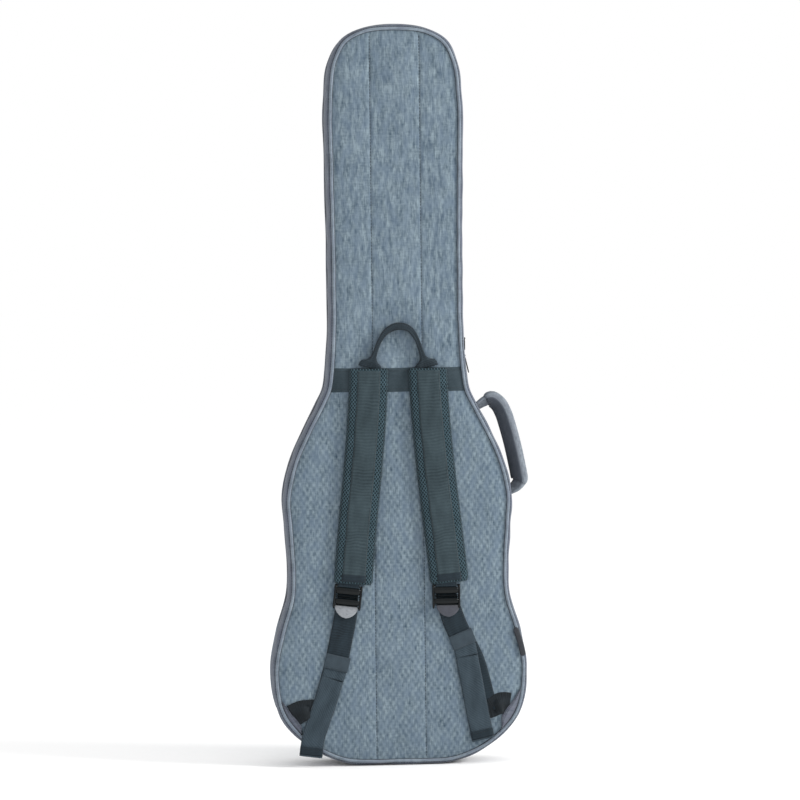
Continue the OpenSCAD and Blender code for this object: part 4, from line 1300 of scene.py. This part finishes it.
def build_zip_pulls():
    """Sliders and pulls of the main zip and of the pockets."""
    for which, z, turn in (("upper", 708 * MM, -1), ("lower", 690 * MM, 1)):
        body = which + "_slider"
        low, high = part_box(body)
        parts = slider_parts((high.z - low.z) / 2, 5 * MM, 5.3 * MM, -6 * MM)
        parts = set_axes(parts, (low.x + 0.3 * MM, PART_Y, z), (1, 0, 0), (0, 1, 0), (0, 0, turn))
        show(which.capitalize() + "_Slider", parts, SLIDER, body, [body])
        node = which + "_pull"
        low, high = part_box(node)
        pin = (121.0 * MM, PART_Y, high.z - 1.3 * MM)
        lean = math.radians(13) if which == "lower" else 0.0
        parts = set_axes(pull_parts(pin[2] - low.z, lean), pin, (1, 0, 0), (0, 1, 0), (0, 0, -1))
        show(which.capitalize() + "_Pull", parts, PULL, node, [node])
    for which in ("lower", "neck"):
        node = which + "_pocket_slider"
        low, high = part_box(node)
        centre = ((low.x + high.x) / 2, low.y, (low.z + high.z) / 2)
        parts = slider_parts(6 * MM, 5 * MM, 4.6 * MM, -2 * MM)
        parts = set_axes(parts, centre, (0, 1, 0), (1, 0, 0), (0, 0, 1))
        show(which.capitalize() + "_Pocket_Slider", parts, SLIDER, node, [node])
        node = which + "_pocket_pull"
        low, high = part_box(node)
        pin = ((low.x + high.x) / 2, (low.y + high.y) / 2, high.z - 1.3 * MM)
        parts = set_axes(pull_parts(pin[2] - low.z, 0.0), pin, (0, 1, 0), (1, 0, 0), (0, 0, -1))
        show(which.capitalize() + "_Pocket_Pull", parts, PULL, node, [node])


# ---------------------------------------------------------------- inside the tray
def build_inside():
    """Neck rest with its strap, and the pad under the strap pin."""
    low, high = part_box("neck_rest")
    top, floor = high.y - 0.6 * MM, low.y - 0.6 * MM
    half = high.x - 0.6 * MM
    rings = []
    for t in np.linspace(0, 1, 15):
        end = math.sqrt(max(1 - (abs(2 * t - 1)) ** 6, 0.0))
        z = low.z + 0.4 * MM + (high.z - low.z - 0.8 * MM) * t
        shrink = 0.90 + 0.10 * end
        notch = [(a, top - 21 * MM * math.sqrt(max(1 - (abs(a) / (34 * MM)) ** 2.4, 0)))
                 for a in np.linspace(-34, 34, 19) * MM]
        crest = [(-v * MM, top - drop * MM)
                 for v, drop in ((88, 3), (78, 0.6), (64, 0), (50, 0.4), (39, 2.4))]
        wing = [(-half, floor), (-half, floor + 10 * MM), (-half + 1.5 * MM, top - 9 * MM)] + crest
        ring = wing + notch + [(-a, b) for a, b in wing[::-1]]
        middle = (top + floor) / 2
        rings.append([(p[0] * (0.985 + 0.015 * end), middle + (p[1] - middle) * shrink, z) for p in ring])
    rest = show("Neck_Rest", loft(rings), PLUSH, "shell", ["neck_rest"])

    low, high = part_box("strap_pin_pad")
    centre = np.array([0, (low.y + high.y) / 2, 0])
    size = (high.x - low.x, high.y - low.y)
    rings = []
    for t in np.linspace(0, 1, 11):
        end = (1 - abs(2 * t - 1) ** 3) ** 0.4 if 0 < t < 1 else 0.0
        z = low.z - 0.8 * MM + (high.z - low.z + 0.4 * MM) * t
        share = 0.84 + 0.16 * end
        rings.append([centre + np.array([p[0] * share, p[1] * share, z]) for p in oval(*size, 40, 5)])
    pad = show("Strap_Pin_Pad", loft(rings), PLUSH, "shell", ["strap_pin_pad"])

    low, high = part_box("neck_strap")
    run = np.linspace(low.x, high.x, 41)
    y = (low.y + high.y) / 2 + 0.5 * MM * np.cos(run / high.x * math.pi * 1.5)
    path = np.stack([run, y, np.full(41, (low.z + high.z) / 2)], 1)
    up = np.broadcast_to(np.array([0.0, 0.0, 1.0]), path.shape)
    strap = mirrored(high.z - low.z - 0.6 * MM, 1.6 * MM, 0, 15, 0.8 * MM)
    show("Neck_Strap", ribbon(path, up, strap), TAIL_WEB, "neck_strap", ["neck_strap"])
    patch = mirrored(high.z - low.z - 5 * MM, 2.6 * MM, 0, 11, 1.0 * MM)
    show("Neck_Strap_Patch", ribbon(path[31:40], up[31:40], patch), BAND, "neck_strap")


# ---------------------------------------------------------------- stage
def build_stage():
    """Wide white floor, soft light from all round with a key lamp on the right, and the camera."""
    radius = np.array([0, 0.5, 1, 2, 4, 8, 16, 40, 90.0])
    angles = np.arange(48) * 2 * math.pi / 48
    rows = np.stack([np.stack([r * np.cos(angles), r * np.sin(angles), np.full(48, -0.4 * MM)], 1)
                     for r in np.maximum(radius, 0.01)])
    floor = make_object("Floor", *grid(rows, radius, np.arange(49) / 48, close_t=True), FLOOR)

    world = bpy.data.worlds.new("studio")
    bpy.context.scene.world = world
    world.use_nodes = True
    world.node_tree.nodes["Background"].inputs[0].default_value = (1.0, 1.0, 1.0, 1.0)
    world.node_tree.nodes["Background"].inputs[1].default_value = 1.0
    middle = Vector((0, 0, BAG_H / 2))
    lamp = bpy.data.lights.new("key", "AREA")
    lamp.shape = "RECTANGLE"
    lamp.size, lamp.size_y = 1.0, 1.2
    lamp.energy = 118
    lamp.color = (1.0, 0.985, 0.965)
    obj = bpy.data.objects.new("key", lamp)
    bpy.context.scene.collection.objects.link(obj)
    obj.location = (3.2, -1.45, 1.85)
    obj.rotation_mode = "QUATERNION"
    obj.rotation_quaternion = (obj.location - middle).to_track_quat("Z", "Y")

    cam = bpy.data.cameras.new("camera")
    cam.lens, cam.sensor_width = 150, 36
    obj = bpy.data.objects.new("camera", cam)
    bpy.context.scene.collection.objects.link(obj)
    view_w = 1.338
    azimuth, elevation, roll = math.radians(-5), math.radians(2), math.radians(-0.62)
    distance = view_w * cam.lens / cam.sensor_width
    back = Vector((math.sin(azimuth) * math.cos(elevation), -math.cos(azimuth) * math.cos(elevation),
                   math.sin(elevation)))
    target = Vector((0.0035, BACK_Y, 0.613))
    obj.location = target + back * distance
    obj.rotation_mode = "QUATERNION"
    look = (-back).to_track_quat("-Z", "Y")
    obj.rotation_quaternion = look @ Quaternion((0, 0, 1), roll)
    bpy.context.scene.camera = obj
    bpy.context.scene.view_settings.view_transform = "Standard"
    bpy.context.scene.view_settings.look = "None"


build_stage()
build_shell()
build_hinge()
build_lining()
build_lid()
build_band()
build_haul_loop()
for strap_side in ("left", "right"):
    build_strap(strap_side)
    build_buckle(strap_side)
    build_load_webbing(strap_side)
    build_keeper(strap_side)
    build_tail(strap_side)
    build_corner_patch(strap_side)
build_handle()
build_label()
build_pocket("lower")
build_pocket("neck")
build_zip_pulls()
build_inside()
